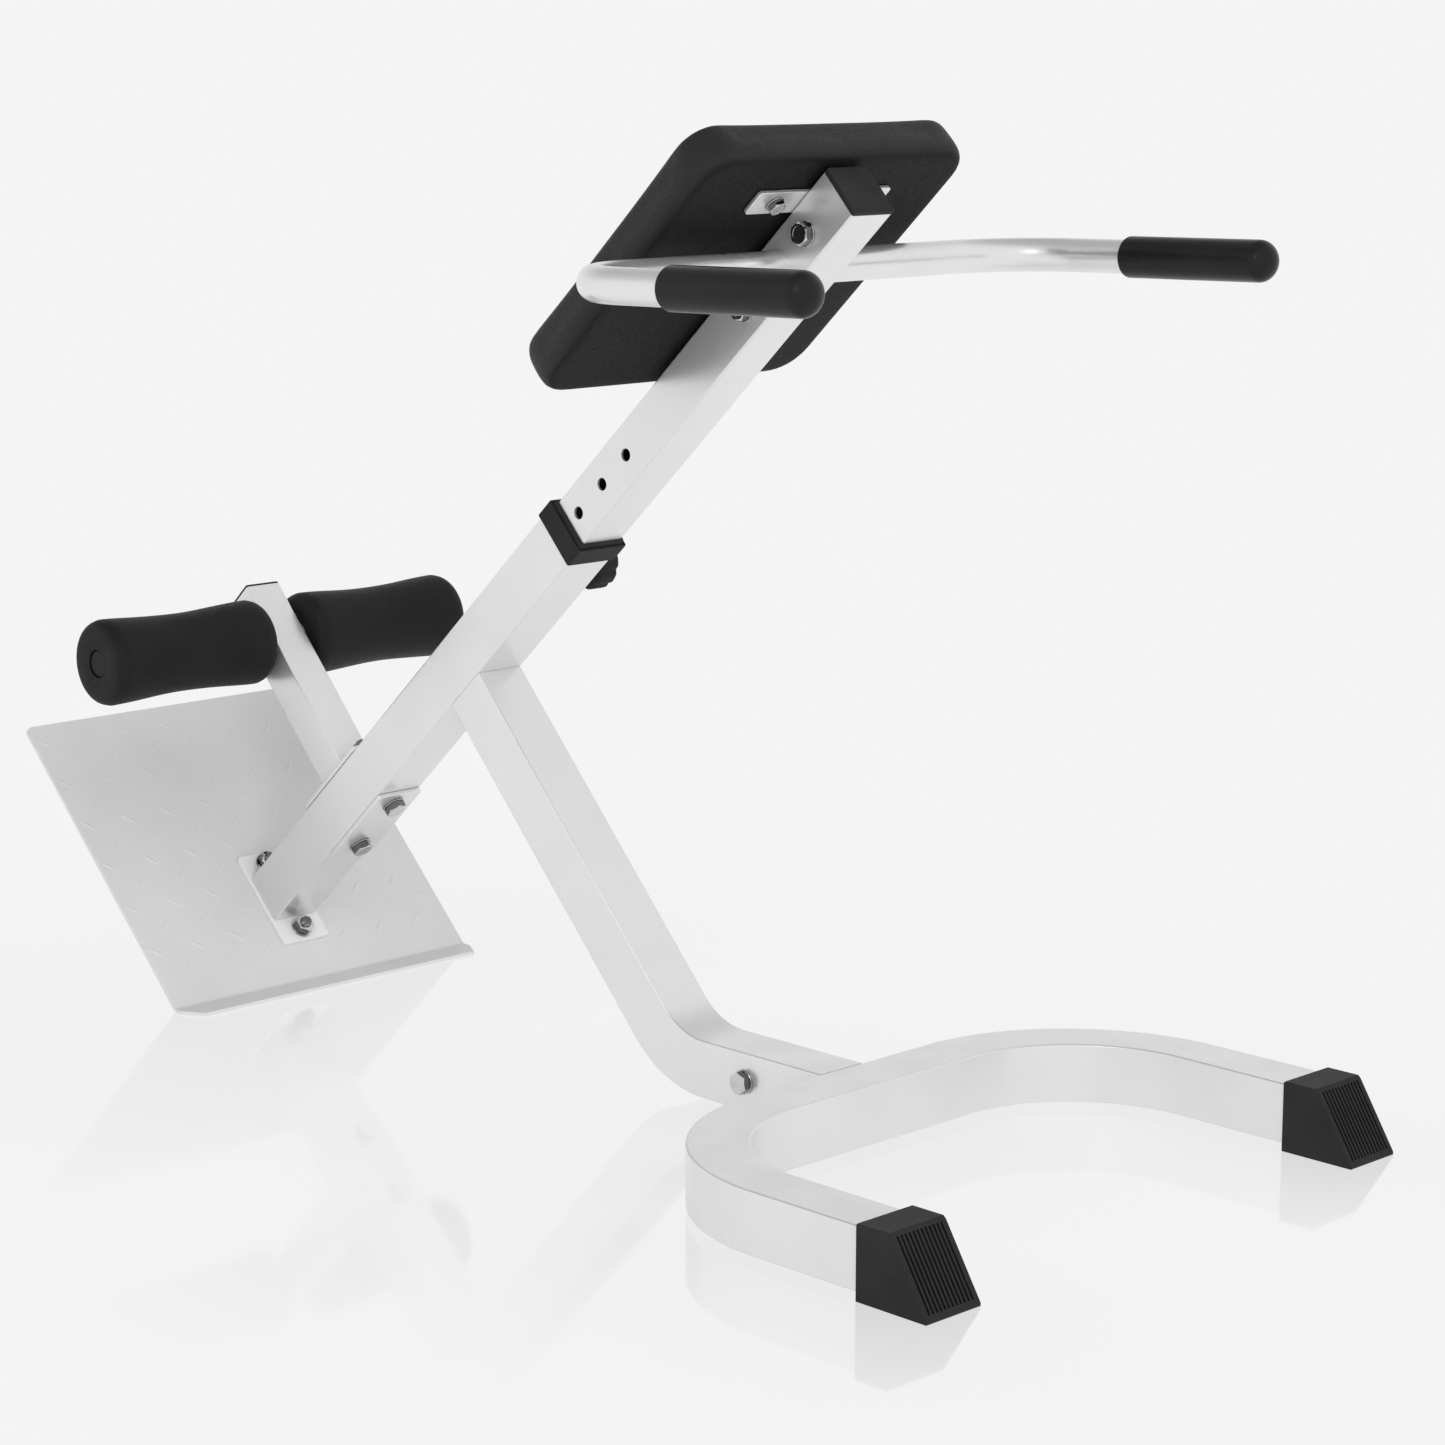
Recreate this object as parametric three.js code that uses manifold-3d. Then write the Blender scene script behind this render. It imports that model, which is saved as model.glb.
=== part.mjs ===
// Roman chair: a 45 degree back-extension bench. Millimetres, +Z up, the floor at z = 0.
// +X points from the foot plate towards the open ends of the base, and y = 0 is the plane of symmetry.
import * as THREE from "three";
import { mergeVertices } from "three/addons/utils/BufferGeometryUtils.js";
import Module from "manifold-3d";

const wasm = await Module();
wasm.setup();

// ---- driving dimensions ------------------------------------------------------------------
const DEG = Math.PI / 180;
const GAP = 0.15; // air left between pieces that are welded, bolted or pressed together

const BEAM_TILT = 42.7 * DEG; // the beam's rise above the floor
const BEAM_FOOT = [-460.6, 68.6]; // x and z where the beam's axis starts
const BEAM = { side: 50, wall: 1.8, corner: 1.7, length: 590 };
const SLIDER = { side: 45, wall: 2, corner: 1.7, start: 385, end: 1024 };
const HOLE_PITCH = 40; // spacing of the height settings
const HOLE_RADIUS = 5.5;
const PIN_U = 535; // where the pull pin crosses the beam
const SETTINGS = [-3, -2, -1, 0, 1, 2, 3, 4]; // slider holes counted from the one in use

const PLATE_TILT = 45 * DEG; // the foot plate leans back at 45 degrees
const FOLD_X = -397.4;
const SHEET = 3;
const PLATE = { width: 347, height: 326, lip: 30, corner: 8 };
const FLANGE = { width: 53, height: 102, thick: 4, middle: 90.5, bolt: 38 };

const BASE = { side: 50, wall: 2, corner: 1.7, width: 549, back: 282, bend: 145, legEnd: 585, low: 5 };
const UPRIGHT = { at: 390, bend: 90, wall: 2 };
const JOINT_BOLT_X = 194;
const CAP = { start: 562, top: 594.4, toe: 630, lip: 3, wall: 3.7 };

const POST = { at: 171, side: 38, wall: 2, top: 236, bolt: 34 };
const CLAMP_PLATE = { length: 101, width: 50, thick: 4 };
const AXLE = { at: 171, height: 185, radius: 12.5, wall: 2, half: 200 };
const ROLLER = { inner: 24, outer: 204, waist: 36, swell: 39.6, bore: 13.2 };

const COLLAR = { start: 577, end: 597.5, tip: 601.6, side: 55.2, ring: 50.6, mouth: 48 };
const KNOB = { radius: 24.5, start: 36, end: 57, lobes: 9 };

const PAD = { low: 753, high: 1039, width: 296, under: 26.1, top: 69, board: 12, corner: 30 };
const BRACKETS = [885, 988];
const PAD_BOLT_Y = 50;
const BAR = { at: 935, radius: 14, wall: 2, half: 259, bend: 75, reach: 254, rise: 1.2 * DEG };
const GRIP = { start: 126.5, end: 273, radius: 17 };
const CROSS_BOLTS = [885, 977];

// ---- materials ---------------------------------------------------------------------------
const paint = () => new THREE.MeshStandardMaterial({ color: 0xdcdcdc, roughness: 0.42, metalness: 0.1 });
const plateGrey = () => new THREE.MeshStandardMaterial({ color: 0xc4c4c4, roughness: 0.5, metalness: 0.3 });
const blackPlastic = () => new THREE.MeshStandardMaterial({ color: 0x2b2b2b, roughness: 0.55, metalness: 0 });
const blackGrip = () => new THREE.MeshStandardMaterial({ color: 0x222222, roughness: 0.3, metalness: 0 });
const foam = () => new THREE.MeshStandardMaterial({ color: 0x1b1b1b, roughness: 0.85, metalness: 0 });
const vinyl = () => new THREE.MeshStandardMaterial({ color: 0x303030, roughness: 0.5, metalness: 0 });
const plywood = () => new THREE.MeshStandardMaterial({ color: 0x2e2e2e, roughness: 0.7, metalness: 0 });
const zinc = () => new THREE.MeshStandardMaterial({ color: 0x9a9a9a, roughness: 0.3, metalness: 0.9 });

// ---- solids ------------------------------------------------------------------------------
const TO_X = new THREE.Matrix4().makeBasis(
  new THREE.Vector3(0, 1, 0), new THREE.Vector3(0, 0, 1), new THREE.Vector3(1, 0, 0));
const TO_Y = new THREE.Matrix4().makeBasis(
  new THREE.Vector3(0, 0, 1), new THREE.Vector3(1, 0, 0), new THREE.Vector3(0, 1, 0));

function solid(geometry) {
  const bare = new THREE.BufferGeometry();
  bare.setAttribute("position", geometry.getAttribute("position"));
  if (geometry.index) bare.setIndex(geometry.index);
  const joined = mergeVertices(bare, 1e-4);
  const triVerts = new Uint32Array(joined.index.array);
  const vertProperties = new Float32Array(joined.getAttribute("position").array);
  let body = new wasm.Manifold(new wasm.Mesh({ numProp: 3, vertProperties, triVerts }));
  if (body.volume() < 0) {
    for (let i = 0; i < triVerts.length; i += 3) [triVerts[i], triVerts[i + 1]] = [triVerts[i + 1], triVerts[i]];
    body = new wasm.Manifold(new wasm.Mesh({ numProp: 3, vertProperties, triVerts }));
  }
  return body;
}

function toGeometry(body) {
  const found = body.getMesh();
  const geometry = new THREE.BufferGeometry();
  geometry.setAttribute("position", new THREE.BufferAttribute(new Float32Array(found.vertProperties), 3));
  geometry.setIndex(new THREE.BufferAttribute(new Uint32Array(found.triVerts), 1));
  const flat = geometry.toNonIndexed();
  flat.computeVertexNormals();
  return flat;
}

function part(name, body, material) {
  const mesh = new THREE.Mesh(toGeometry(body), material);
  mesh.name = name;
  return mesh;
}

function roundedRect(width, height, radius, Kind = THREE.Shape) {
  const w = width / 2, h = height / 2, r = radius;
  const outline = new Kind();
  outline.moveTo(w, -h + r);
  outline.lineTo(w, h - r).absarc(w - r, h - r, r, 0, Math.PI / 2, false);
  outline.lineTo(-w + r, h).absarc(-w + r, h - r, r, Math.PI / 2, Math.PI, false);
  outline.lineTo(-w, -h + r).absarc(-w + r, -h + r, r, Math.PI, 1.5 * Math.PI, false);
  outline.lineTo(w - r, -h).absarc(w - r, -h + r, r, 1.5 * Math.PI, 2 * Math.PI, false);
  return outline;
}

function squareSection(side, wall, corner) {
  const section = roundedRect(side, side, corner);
  section.holes.push(roundedRect(side - 2 * wall, side - 2 * wall, Math.max(corner - wall, 1.2), THREE.Path));
  return section;
}

function extrude(shape, depth, matrix = null, curveSegments = 1.5) {
  const geometry = new THREE.ExtrudeGeometry(shape, { depth, bevelEnabled: false, curveSegments });
  if (matrix) geometry.applyMatrix4(matrix);
  return geometry;
}

function block(x0, x1, y0, y1, z0, z1) {
  const geometry = new THREE.BoxGeometry(x1 - x0, y1 - y0, z1 - z0);
  geometry.translate((x0 + x1) / 2, (y0 + y1) / 2, (z0 + z1) / 2);
  return solid(geometry);
}

// A round bar along +Y, from y0 to y1.
function rod(radius, y0, y1, x = 0, z = 0, sides = 12) {
  const geometry = new THREE.CylinderGeometry(radius, radius, y1 - y0, sides);
  geometry.translate(x, (y0 + y1) / 2, z);
  return solid(geometry);
}

// Turned pieces have their axis along +Y: each profile point is [radius, y].
function turned(profile, sides = 24) {
  return solid(new THREE.LatheGeometry(profile.map(([r, y]) => new THREE.Vector2(r, y)), sides));
}

function hexPrism(acrossFlats, y0, y1) {
  const geometry = new THREE.CylinderGeometry(acrossFlats / Math.sqrt(3), acrossFlats / Math.sqrt(3), y1 - y0, 6);
  geometry.translate(0, (y0 + y1) / 2, 0);
  return solid(geometry);
}

// A hex bolt whose washer face sits at y = 0, with its head on the -Y side.
function hexBolt(radius, flats, headHeight, length) {
  return hexPrism(flats, -headHeight - 1.6, -1.5)
    .add(rod(flats * 0.62, -1.6, 0, 0, 0, 14))
    .add(rod(radius, -1, length));
}

// A carriage bolt: low domed head at y < 0, shank along +Y.
function carriageBolt(radius, length) {
  return turned([[0, -5], [5, -4.4], [8.6, -2.2], [10, 0], [radius, 0], [radius, length - 1],
    [radius - 1, length], [0, length]], 16);
}

// A hex nut on its washer: the washer's face is at y = 0 and the nut stands towards +Y.
function nut(radius, flats, height) {
  return rod(flats * 0.62, 0, 1.6, 0, 0, 14)
    .add(hexPrism(flats, 1.5, 1.5 + height))
    .subtract(rod(radius + 0.3, -1, height + 3));
}

function placed(body, matrix) {
  return body.transform(matrix.elements);
}

// Turns a piece built along +Y to lie along another direction, then moves it.
function aim(body, direction, at) {
  const turn = new THREE.Quaternion().setFromUnitVectors(new THREE.Vector3(0, 1, 0), new THREE.Vector3(...direction));
  return placed(body, new THREE.Matrix4().compose(new THREE.Vector3(...at), turn, new THREE.Vector3(1, 1, 1)));
}

// A path of straight runs and round bends, with its stations exactly at the ends of each run.
class BentPath extends THREE.Curve {
  constructor(corners, radius, stepDegrees) {
    super();
    this.points = [corners[0].clone()];
    this.tangents = [corners[1].clone().sub(corners[0]).normalize()];
    for (let i = 1; i < corners.length - 1; i++) this.bend(corners[i], corners[i + 1], radius, stepDegrees);
    this.points.push(corners.at(-1).clone());
    this.tangents.push(this.tangents.at(-1).clone());
  }
  bend(corner, next, radius, stepDegrees) {
    const before = this.tangents.at(-1).clone();
    const after = next.clone().sub(corner).normalize();
    const angle = before.angleTo(after);
    const axis = before.clone().cross(after).normalize();
    const start = corner.clone().addScaledVector(before, -radius * Math.tan(angle / 2));
    const centre = start.clone().addScaledVector(axis.clone().cross(before), radius);
    const steps = Math.ceil(angle / (stepDegrees * DEG));
    for (let i = 0; i <= steps; i++) {
      const a = (angle * i) / steps;
      this.points.push(start.clone().sub(centre).applyAxisAngle(axis, a).add(centre));
      this.tangents.push(before.clone().applyAxisAngle(axis, a));
    }
  }
  getSpacedPoints() { return this.points.map((p) => p.clone()); }
  getPoint(t) { return this.points[Math.round(t * (this.points.length - 1))].clone(); }
  getTangentAt(u) { return this.tangents[Math.round(u * (this.points.length - 1))].clone(); }
}

function bentTube(section, corners, radius, stepDegrees, curveSegments = 1.5) {
  const extrudePath = new BentPath(corners.map((c) => new THREE.Vector3(...c)), radius, stepDegrees);
  const steps = extrudePath.points.length - 1;
  return solid(new THREE.ExtrudeGeometry(section, { steps, extrudePath, curveSegments, bevelEnabled: false }));
}

function roundSection(radius, wall) {
  const section = new THREE.Shape().absarc(0, 0, radius, 0, 2 * Math.PI, false);
  section.holes.push(new THREE.Path().absarc(0, 0, radius - wall, 0, 2 * Math.PI, true));
  return section;
}

// ---- frames the pieces are placed in -----------------------------------------------------
// Beam frame: x runs up the beam's axis from its foot, z is square to it on the pad's side.
const beam = new THREE.Group();
beam.name = "beam_frame";
beam.position.set(BEAM_FOOT[0], 0, BEAM_FOOT[1]);
beam.rotation.y = -BEAM_TILT;
beam.updateMatrix();

// Plate frame: x is square to the tread face, z runs up the plate from its fold.
const plate = new THREE.Group();
plate.name = "plate_frame";
plate.position.set(FOLD_X, 0, SHEET);
plate.rotation.y = -PLATE_TILT;
plate.updateMatrix();

const floor = new THREE.Group();
floor.name = "floor_frame";

const beamToFloor = (u, y, h) => new THREE.Vector3(u, y, h).applyMatrix4(beam.matrix).toArray();
const floorToBeam = beam.matrix.clone().invert();
const floorToPlate = plate.matrix.clone().invert();

// ---- foot plate --------------------------------------------------------------------------
function footPlate() {
  const { width, height, lip, corner } = PLATE;
  const panel = new THREE.Shape();
  panel.moveTo(-width / 2, 12).lineTo(width / 2, 12).lineTo(width / 2, height - corner);
  panel.absarc(width / 2 - corner, height - corner, corner, 0, Math.PI / 2, false);
  panel.lineTo(-width / 2 + corner, height);
  panel.absarc(-width / 2 + corner, height - corner, corner, Math.PI / 2, Math.PI, false);
  let body = solid(extrude(panel, SHEET, TO_X, 5).translate(-SHEET, 0, 0));
  const c = Math.cos(PLATE_TILT), s = Math.sin(PLATE_TILT);
  const fold = new THREE.Shape([
    [lip, -SHEET], [lip, 0], [2.4, 0], [0.6, 0.7], [-0.4, 2], [-14 * s, 14 * c],
    [-14 * s - SHEET * c, 14 * c - SHEET * s], [-SHEET * c - 1.6, -0.4], [-1.6, -2.2], [0, -SHEET],
  ].map(([x, z]) => new THREE.Vector2(x, z)));
  let strip = solid(extrude(fold, width).rotateX(Math.PI / 2).translate(FOLD_X, width / 2, SHEET));
  for (const side of [-1, 1]) {
    const cut = new THREE.Shape([[9, 0.1], [31, 0.1], [31, -13]].map(([x, y]) => new THREE.Vector2(x, y)));
    const prism = extrude(cut, 9).translate(FOLD_X, 0, -3).translate(0, width / 2, 0);
    strip = strip.subtract(side > 0 ? solid(prism) : solid(prism).mirror([0, 1, 0]));
  }
  body = body.add(placed(strip, floorToPlate));
  for (const z of [-FLANGE.bolt, FLANGE.bolt]) {
    body = body.subtract(aim(rod(5.3, -9, 9), [1, 0, 0], [0, 0, FLANGE.middle + z]));
  }
  return body;
}

function footFlange() {
  let body = solid(extrude(roundedRect(FLANGE.width, FLANGE.height, 3.5), FLANGE.thick, TO_X)
    .translate(GAP, 0, FLANGE.middle));
  for (const z of [-FLANGE.bolt, FLANGE.bolt]) {
    body = body.subtract(aim(rod(5.3, -9, 9), [1, 0, 0], [0, 0, FLANGE.middle + z]));
  }
  return body;
}

plate.add(part("foot_plate", footPlate(), plateGrey()));
plate.add(part("beam_foot_flange", footFlange(), paint()));
for (const [i, z] of [FLANGE.bolt, -FLANGE.bolt].entries()) {
  const height = FLANGE.middle + z;
  const bolt = aim(carriageBolt(5, 21), [1, 0, 0], [-SHEET - 0.2, 0, height]);
  plate.add(part(`foot_plate_bolt_${i + 1}`, bolt, zinc()));
  const at = [FLANGE.thick + 2 * GAP, 0, height];
  plate.add(part(`foot_plate_nut_${i + 1}`, aim(nut(5, 17, 8), [1, 0, 0], at), zinc()));
}

// ---- main beam ---------------------------------------------------------------------------
function mainBeam() {
  let body = solid(extrude(squareSection(BEAM.side, BEAM.wall, BEAM.corner), BEAM.length + 20, TO_X)
    .translate(-20, 0, 0));
  const behind = block(-80, FLANGE.thick + 2 * GAP, -60, 60, -200, 200);
  body = body.subtract(placed(behind, new THREE.Matrix4().multiplyMatrices(
    floorToBeam, new THREE.Matrix4().multiplyMatrices(plate.matrix,
      new THREE.Matrix4().makeTranslation(0, 0, FLANGE.middle)))));
  body = body.subtract(rod(5.6, 15, 40, PIN_U, 0));
  for (const u of [POST.at - POST.bolt, POST.at + POST.bolt]) {
    body = body.subtract(aim(rod(5.3, -40, 40), [0, 0, 1], [u, 0, 0]));
  }
  return body;
}

function collar() {
  const { start, end, tip, side, ring, mouth } = COLLAR;
  const prism = (width, corner, from, to) => solid(extrude(roundedRect(width, width, corner), to - from, TO_X)
    .translate(from, 0, 0));
  return prism(side, 2.2, start, end).add(prism(ring, 2, end - 1, tip - 1.8)).add(prism(mouth, 1.9, tip - 2, tip))
    .subtract(prism(50.6, 1.9, start - 5, BEAM.length + GAP))
    .subtract(prism(45.8, 1.9, start - 5, tip + 5));
}

beam.add(part("main_beam", mainBeam(), paint()));
beam.add(part("beam_collar", collar(), blackPlastic()));

// ---- pull pin ----------------------------------------------------------------------------
function knob() {
  const outline = new THREE.Shape();
  const steps = KNOB.lobes * 4;
  for (let i = 0; i < steps; i++) {
    const a = (2 * Math.PI * i) / steps;
    const r = KNOB.radius - 1.1 + 1.1 * Math.cos(KNOB.lobes * a);
    if (i) outline.lineTo(r * Math.cos(a), r * Math.sin(a));
    else outline.moveTo(r * Math.cos(a), r * Math.sin(a));
  }
  outline.closePath();
  const { start, end, radius } = KNOB;
  const body = solid(extrude(outline, end - start, TO_Y).translate(0, start, 0));
  const round = turned([[0, start], [radius - 3, start], [radius + 1, start + 4], [radius + 1, end - 4],
    [radius - 4, end], [0, end]], 27);
  return body.intersect(round)
    .add(turned([[0, start - 4], [15.5, start - 4], [15.5, start + 1], [0, start + 1]], 24))
    .subtract(rod(12.4, start - 5, 50, 0, 0, 24))
    .subtract(rod(5.15, 49, 53.2, 0, 0, 16));
}

function pinHousing() {
  return turned([[8, 25.2], [12.5, 25.2], [12.5, 28], [10.6, 29.4], [10.6, 47.4], [9.4, 48.5], [5.35, 48.5],
    [5.35, 46], [8, 46], [8, 25.2]], 24);
}

function pullPin() {
  return turned([[0, 12.5], [3.6, 12.5], [5, 15.5], [5, 26], [7.5, 26], [7.5, 28], [5, 28], [5, 53], [0, 53]], 20);
}

function pinSpring() {
  class Coil extends THREE.Curve {
    getPoint(t) {
      const a = 2 * Math.PI * 5 * t;
      return new THREE.Vector3(6.45 * Math.cos(a), 29 + 16 * t, 6.45 * Math.sin(a));
    }
  }
  const section = new THREE.Shape().absarc(0, 0, 0.7, 0, 2 * Math.PI, false);
  const shape = { steps: 50, extrudePath: new Coil(), curveSegments: 3, bevelEnabled: false };
  return solid(new THREE.ExtrudeGeometry(section, shape));
}

const atPin = new THREE.Matrix4().makeTranslation(PIN_U, 0, 0);
beam.add(part("pull_pin_housing", placed(pinHousing(), atPin), zinc()));
beam.add(part("pull_pin", placed(pullPin(), atPin), zinc()));
beam.add(part("pull_pin_spring", placed(pinSpring(), atPin), zinc()));
beam.add(part("pull_pin_knob", placed(knob(), atPin), blackPlastic()));

// ---- upright and base --------------------------------------------------------------------
function upright() {
  const start = beamToFloor(UPRIGHT.at, 0, -BEAM.side / 2 - GAP);
  const middle = BASE.low + BASE.side / 2;
  const corner = [start[0] + (start[2] - middle) * Math.tan(BEAM_TILT), 0, middle];
  const end = [BASE.back - GAP, 0, middle];
  return bentTube(squareSection(BASE.side, UPRIGHT.wall, BASE.corner), [start, corner, end], UPRIGHT.bend, 6)
    .subtract(rod(5.3, -40, 40, JOINT_BOLT_X, middle));
}

function baseTube() {
  const y = BASE.width / 2 - BASE.side / 2, back = BASE.back + BASE.side / 2, z = BASE.low + BASE.side / 2;
  const corners = [[BASE.legEnd, -y, z], [back, -y, z], [back, y, z], [BASE.legEnd, y, z]];
  return bentTube(squareSection(BASE.side, BASE.wall, BASE.corner), corners, BASE.bend, 10);
}

function baseStub() {
  const section = squareSection(45, 2.5, 4);
  const z = BASE.low + BASE.side / 2;
  return solid(extrude(section, BASE.back - 172 - GAP, TO_X).translate(172, 0, z))
    .subtract(rod(5.3, -40, 40, JOINT_BOLT_X, z));
}

function baseCap() {
  const { start, top, toe, lip, wall } = CAP;
  const high = BASE.low + BASE.side + wall, half = BASE.side / 2 + wall;
  const outline = (points) => new THREE.Shape(points.map(([x, z]) => new THREE.Vector2(x, z)));
  const prism = (points, halfWidth) =>
    solid(extrude(outline(points), 2 * halfWidth).rotateX(Math.PI / 2).translate(0, halfWidth, 0));
  let body = prism([[start, 0], [start, high - 1.5], [start + 1.5, high], [top - 1, high], [top + 1.4, high - 2],
    [toe - 1, lip + 1], [toe, lip - 0.6], [toe, 0]], half);
  body = body.subtract(prism([[start - 1, 4.6], [start - 1, 55.4], [592, 55.4], [624.4, 4.6]], half - wall + 0.4));
  const lean = Math.atan2(toe - top, high - lip);
  const grooves = 12;
  for (let i = 0; i < grooves; i++) {
    const y = (i - (grooves - 1) / 2) * 4.15;
    const slot = block(-2.2, 2, y - 1.05, y + 1.05, -29.6, 29.6);
    const turn = new THREE.Matrix4().makeRotationY(-lean);
    turn.setPosition((top + toe) / 2, 0, (high + lip) / 2);
    body = body.subtract(placed(slot, turn));
  }
  return body;
}

floor.add(part("upright", upright(), paint()));
floor.add(part("base_tube", baseTube(), paint()));
floor.add(part("base_stub", baseStub(), paint()));
const jointBolt = placed(hexBolt(5, 17, 6.5, 68), new THREE.Matrix4().makeTranslation(JOINT_BOLT_X, -25.2, 30));
floor.add(part("base_joint_bolt", jointBolt, zinc()));
const jointNut = placed(nut(5, 17, 8), new THREE.Matrix4().makeTranslation(JOINT_BOLT_X, 25.2, 30));
floor.add(part("base_joint_nut", jointNut, zinc()));
for (const [side, name] of [[-1, "base_cap_right"], [1, "base_cap_left"]]) {
  const y = side * (BASE.width / 2 - BASE.side / 2);
  floor.add(part(name, placed(baseCap(), new THREE.Matrix4().makeTranslation(0, y, 0)), blackPlastic()));
}

// ---- roller post -------------------------------------------------------------------------
function clampPlate() {
  let body = solid(extrude(roundedRect(CLAMP_PLATE.length, CLAMP_PLATE.width, 3), CLAMP_PLATE.thick)
    .translate(POST.at, 0, 0));
  for (const u of [POST.at - POST.bolt, POST.at + POST.bolt]) {
    body = body.subtract(aim(rod(5.3, -9, 9), [0, 0, 1], [u, 0, 0]));
  }
  return body;
}

const plateLow = BEAM.side / 2 + GAP;
const postLow = plateLow + CLAMP_PLATE.thick + GAP;

function rollerPost() {
  const height = POST.top - 2.2 - postLow;
  return solid(extrude(squareSection(POST.side, POST.wall, 1.7), height).translate(POST.at, 0, postLow))
    .subtract(rod(AXLE.radius + 0.4, -40, 40, AXLE.at, AXLE.height, 24));
}

function postCap() {
  const top = solid(extrude(roundedRect(POST.side, POST.side, 2), 2).translate(POST.at, 0, POST.top - 2));
  return top.add(solid(extrude(roundedRect(33, 33, 2), 12).translate(POST.at, 0, POST.top - 13)));
}

beam.add(part("post_base_plate", placed(clampPlate(), new THREE.Matrix4().makeTranslation(0, 0, plateLow)), paint()));
beam.add(part("post_backing_plate",
  placed(clampPlate(), new THREE.Matrix4().makeTranslation(0, 0, -plateLow - CLAMP_PLATE.thick)), paint()));
beam.add(part("roller_post", rollerPost(), paint()));
beam.add(part("post_cap", postCap(), blackPlastic()));
for (const [i, u] of [POST.at - POST.bolt, POST.at + POST.bolt].entries()) {
  const at = [u, 0, -plateLow - CLAMP_PLATE.thick - GAP];
  beam.add(part(`post_bolt_${i + 1}`, aim(hexBolt(5, 17, 6.5, 71), [0, 0, 1], at), zinc()));
  beam.add(part(`post_nut_${i + 1}`, aim(nut(5, 17, 8), [0, 0, 1], [u, 0, postLow]), zinc()));
}

// ---- ankle rollers -----------------------------------------------------------------------
function rollerAxle() {
  const { radius, wall, half } = AXLE;
  return turned([[radius - wall, -half], [radius, -half], [radius, half], [radius - wall, half],
    [radius - wall, -half]]);
}

function roller() {
  const { inner, outer, waist, swell, bore } = ROLLER;
  const length = outer - inner;
  const profile = [[bore, inner], [24, inner], [31, inner + 1.5], [36, inner + 5.5], [swell - 0.6, inner + 12]];
  for (let i = 0; i <= 6; i++) {
    const t = i / 6;
    profile.push([swell - (swell - waist) * Math.sin(Math.PI * t) ** 1.3, inner + 20 + (length - 40) * t]);
  }
  profile.push([swell - 0.6, outer - 12], [36, outer - 5.5], [31, outer - 1.5], [24, outer], [bore, outer],
    [bore, inner]);
  return turned(profile, 28);
}

function axlePlug() {
  return turned([[0, 186], [9.6, 186], [10.2, 187], [10.2, 200.2], [12.4, 200.2], [12.4, 201.4], [11.4, 202.4],
    [0, 202.4]]);
}

const atAxle = new THREE.Matrix4().makeTranslation(AXLE.at, 0, AXLE.height);
beam.add(part("roller_axle", placed(rollerAxle(), atAxle), paint()));
for (const [side, name] of [[1, "left"], [-1, "right"]]) {
  const flip = (body) => placed(side > 0 ? body : body.mirror([0, 1, 0]), atAxle);
  beam.add(part(`ankle_roller_${name}`, flip(roller()), foam()));
  beam.add(part(`axle_plug_${name}`, flip(axlePlug()), blackPlastic()));
}

// ---- slider, with the pad and handlebar it carries ---------------------------------------
function slider() {
  let body = solid(extrude(squareSection(SLIDER.side, SLIDER.wall, SLIDER.corner), SLIDER.end - SLIDER.start, TO_X)
    .translate(SLIDER.start, 0, 0));
  for (const k of SETTINGS) body = body.subtract(rod(HOLE_RADIUS, -40, 40, PIN_U + k * HOLE_PITCH));
  for (const u of CROSS_BOLTS) body = body.subtract(rod(5.3, -40, 40, u));
  return body.subtract(rod(BAR.radius + 0.35, -40, 40, BAR.at, 0, 20));
}

function sliderCap() {
  const top = solid(extrude(roundedRect(45.6, 45.6, 2), 4.6, TO_X).translate(SLIDER.end + GAP, 0, 0));
  return top.add(solid(extrude(roundedRect(40.4, 40.4, 2.2), 16, TO_X).translate(SLIDER.end - 15, 0, 0)));
}

function sliderGlide() {
  const section = roundedRect(46, 46, 4);
  section.holes.push(roundedRect(32, 32, 2, THREE.Path));
  const ring = solid(extrude(section, 8, TO_X).translate(SLIDER.start - 8 - GAP, 0, 0));
  const neck = roundedRect(40.4, 40.4, 2.2);
  neck.holes.push(roundedRect(32, 32, 2, THREE.Path));
  return ring.add(solid(extrude(neck, 14, TO_X).translate(SLIDER.start - 2, 0, 0)));
}

function barCarrier() {
  let body = solid(extrude(squareSection(40.2, 3, 2.2), 126, TO_X).translate(867, 0, 0));
  for (const u of CROSS_BOLTS) body = body.subtract(rod(5.3, -40, 40, u));
  return body.subtract(rod(BAR.radius + 0.35, -40, 40, BAR.at, 0, 20));
}

// The handle arms run forward from the cross tube, rising slightly.
const ARM = [Math.cos(BAR.rise), 0, Math.sin(BAR.rise)];
function alongArm(along, side) {
  const [x, , z] = beamToFloor(BAR.at, 0, 0);
  return [x + along * ARM[0], side * BAR.half, z + along * ARM[2]];
}

function handlebar() {
  const corners = [[BAR.reach, -1], [0, -1], [0, 1], [BAR.reach, 1]].map(([along, side]) => alongArm(along, side));
  return bentTube(roundSection(BAR.radius, BAR.wall), corners, BAR.bend, 11, 9);
}

// The blind rubber grip with its round nose, open towards -X once it is turned to lie along the bar.
function grip() {
  const { start, end, radius } = GRIP;
  const length = end - start, nose = 15, depth = BAR.reach - start + 0.3;
  const profile = [[BAR.radius + 0.3, 0], [radius - 1.4, 0], [radius, 1.6]];
  for (let i = 0; i <= 6; i++) {
    const a = (Math.PI * i) / 12;
    profile.push([i < 6 ? radius * Math.cos(a) : 0, length - nose + nose * Math.sin(a)]);
  }
  profile.push([0, depth], [BAR.radius + 0.3, depth], [BAR.radius + 0.3, 0]);
  return turned(profile, 22);
}

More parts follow.
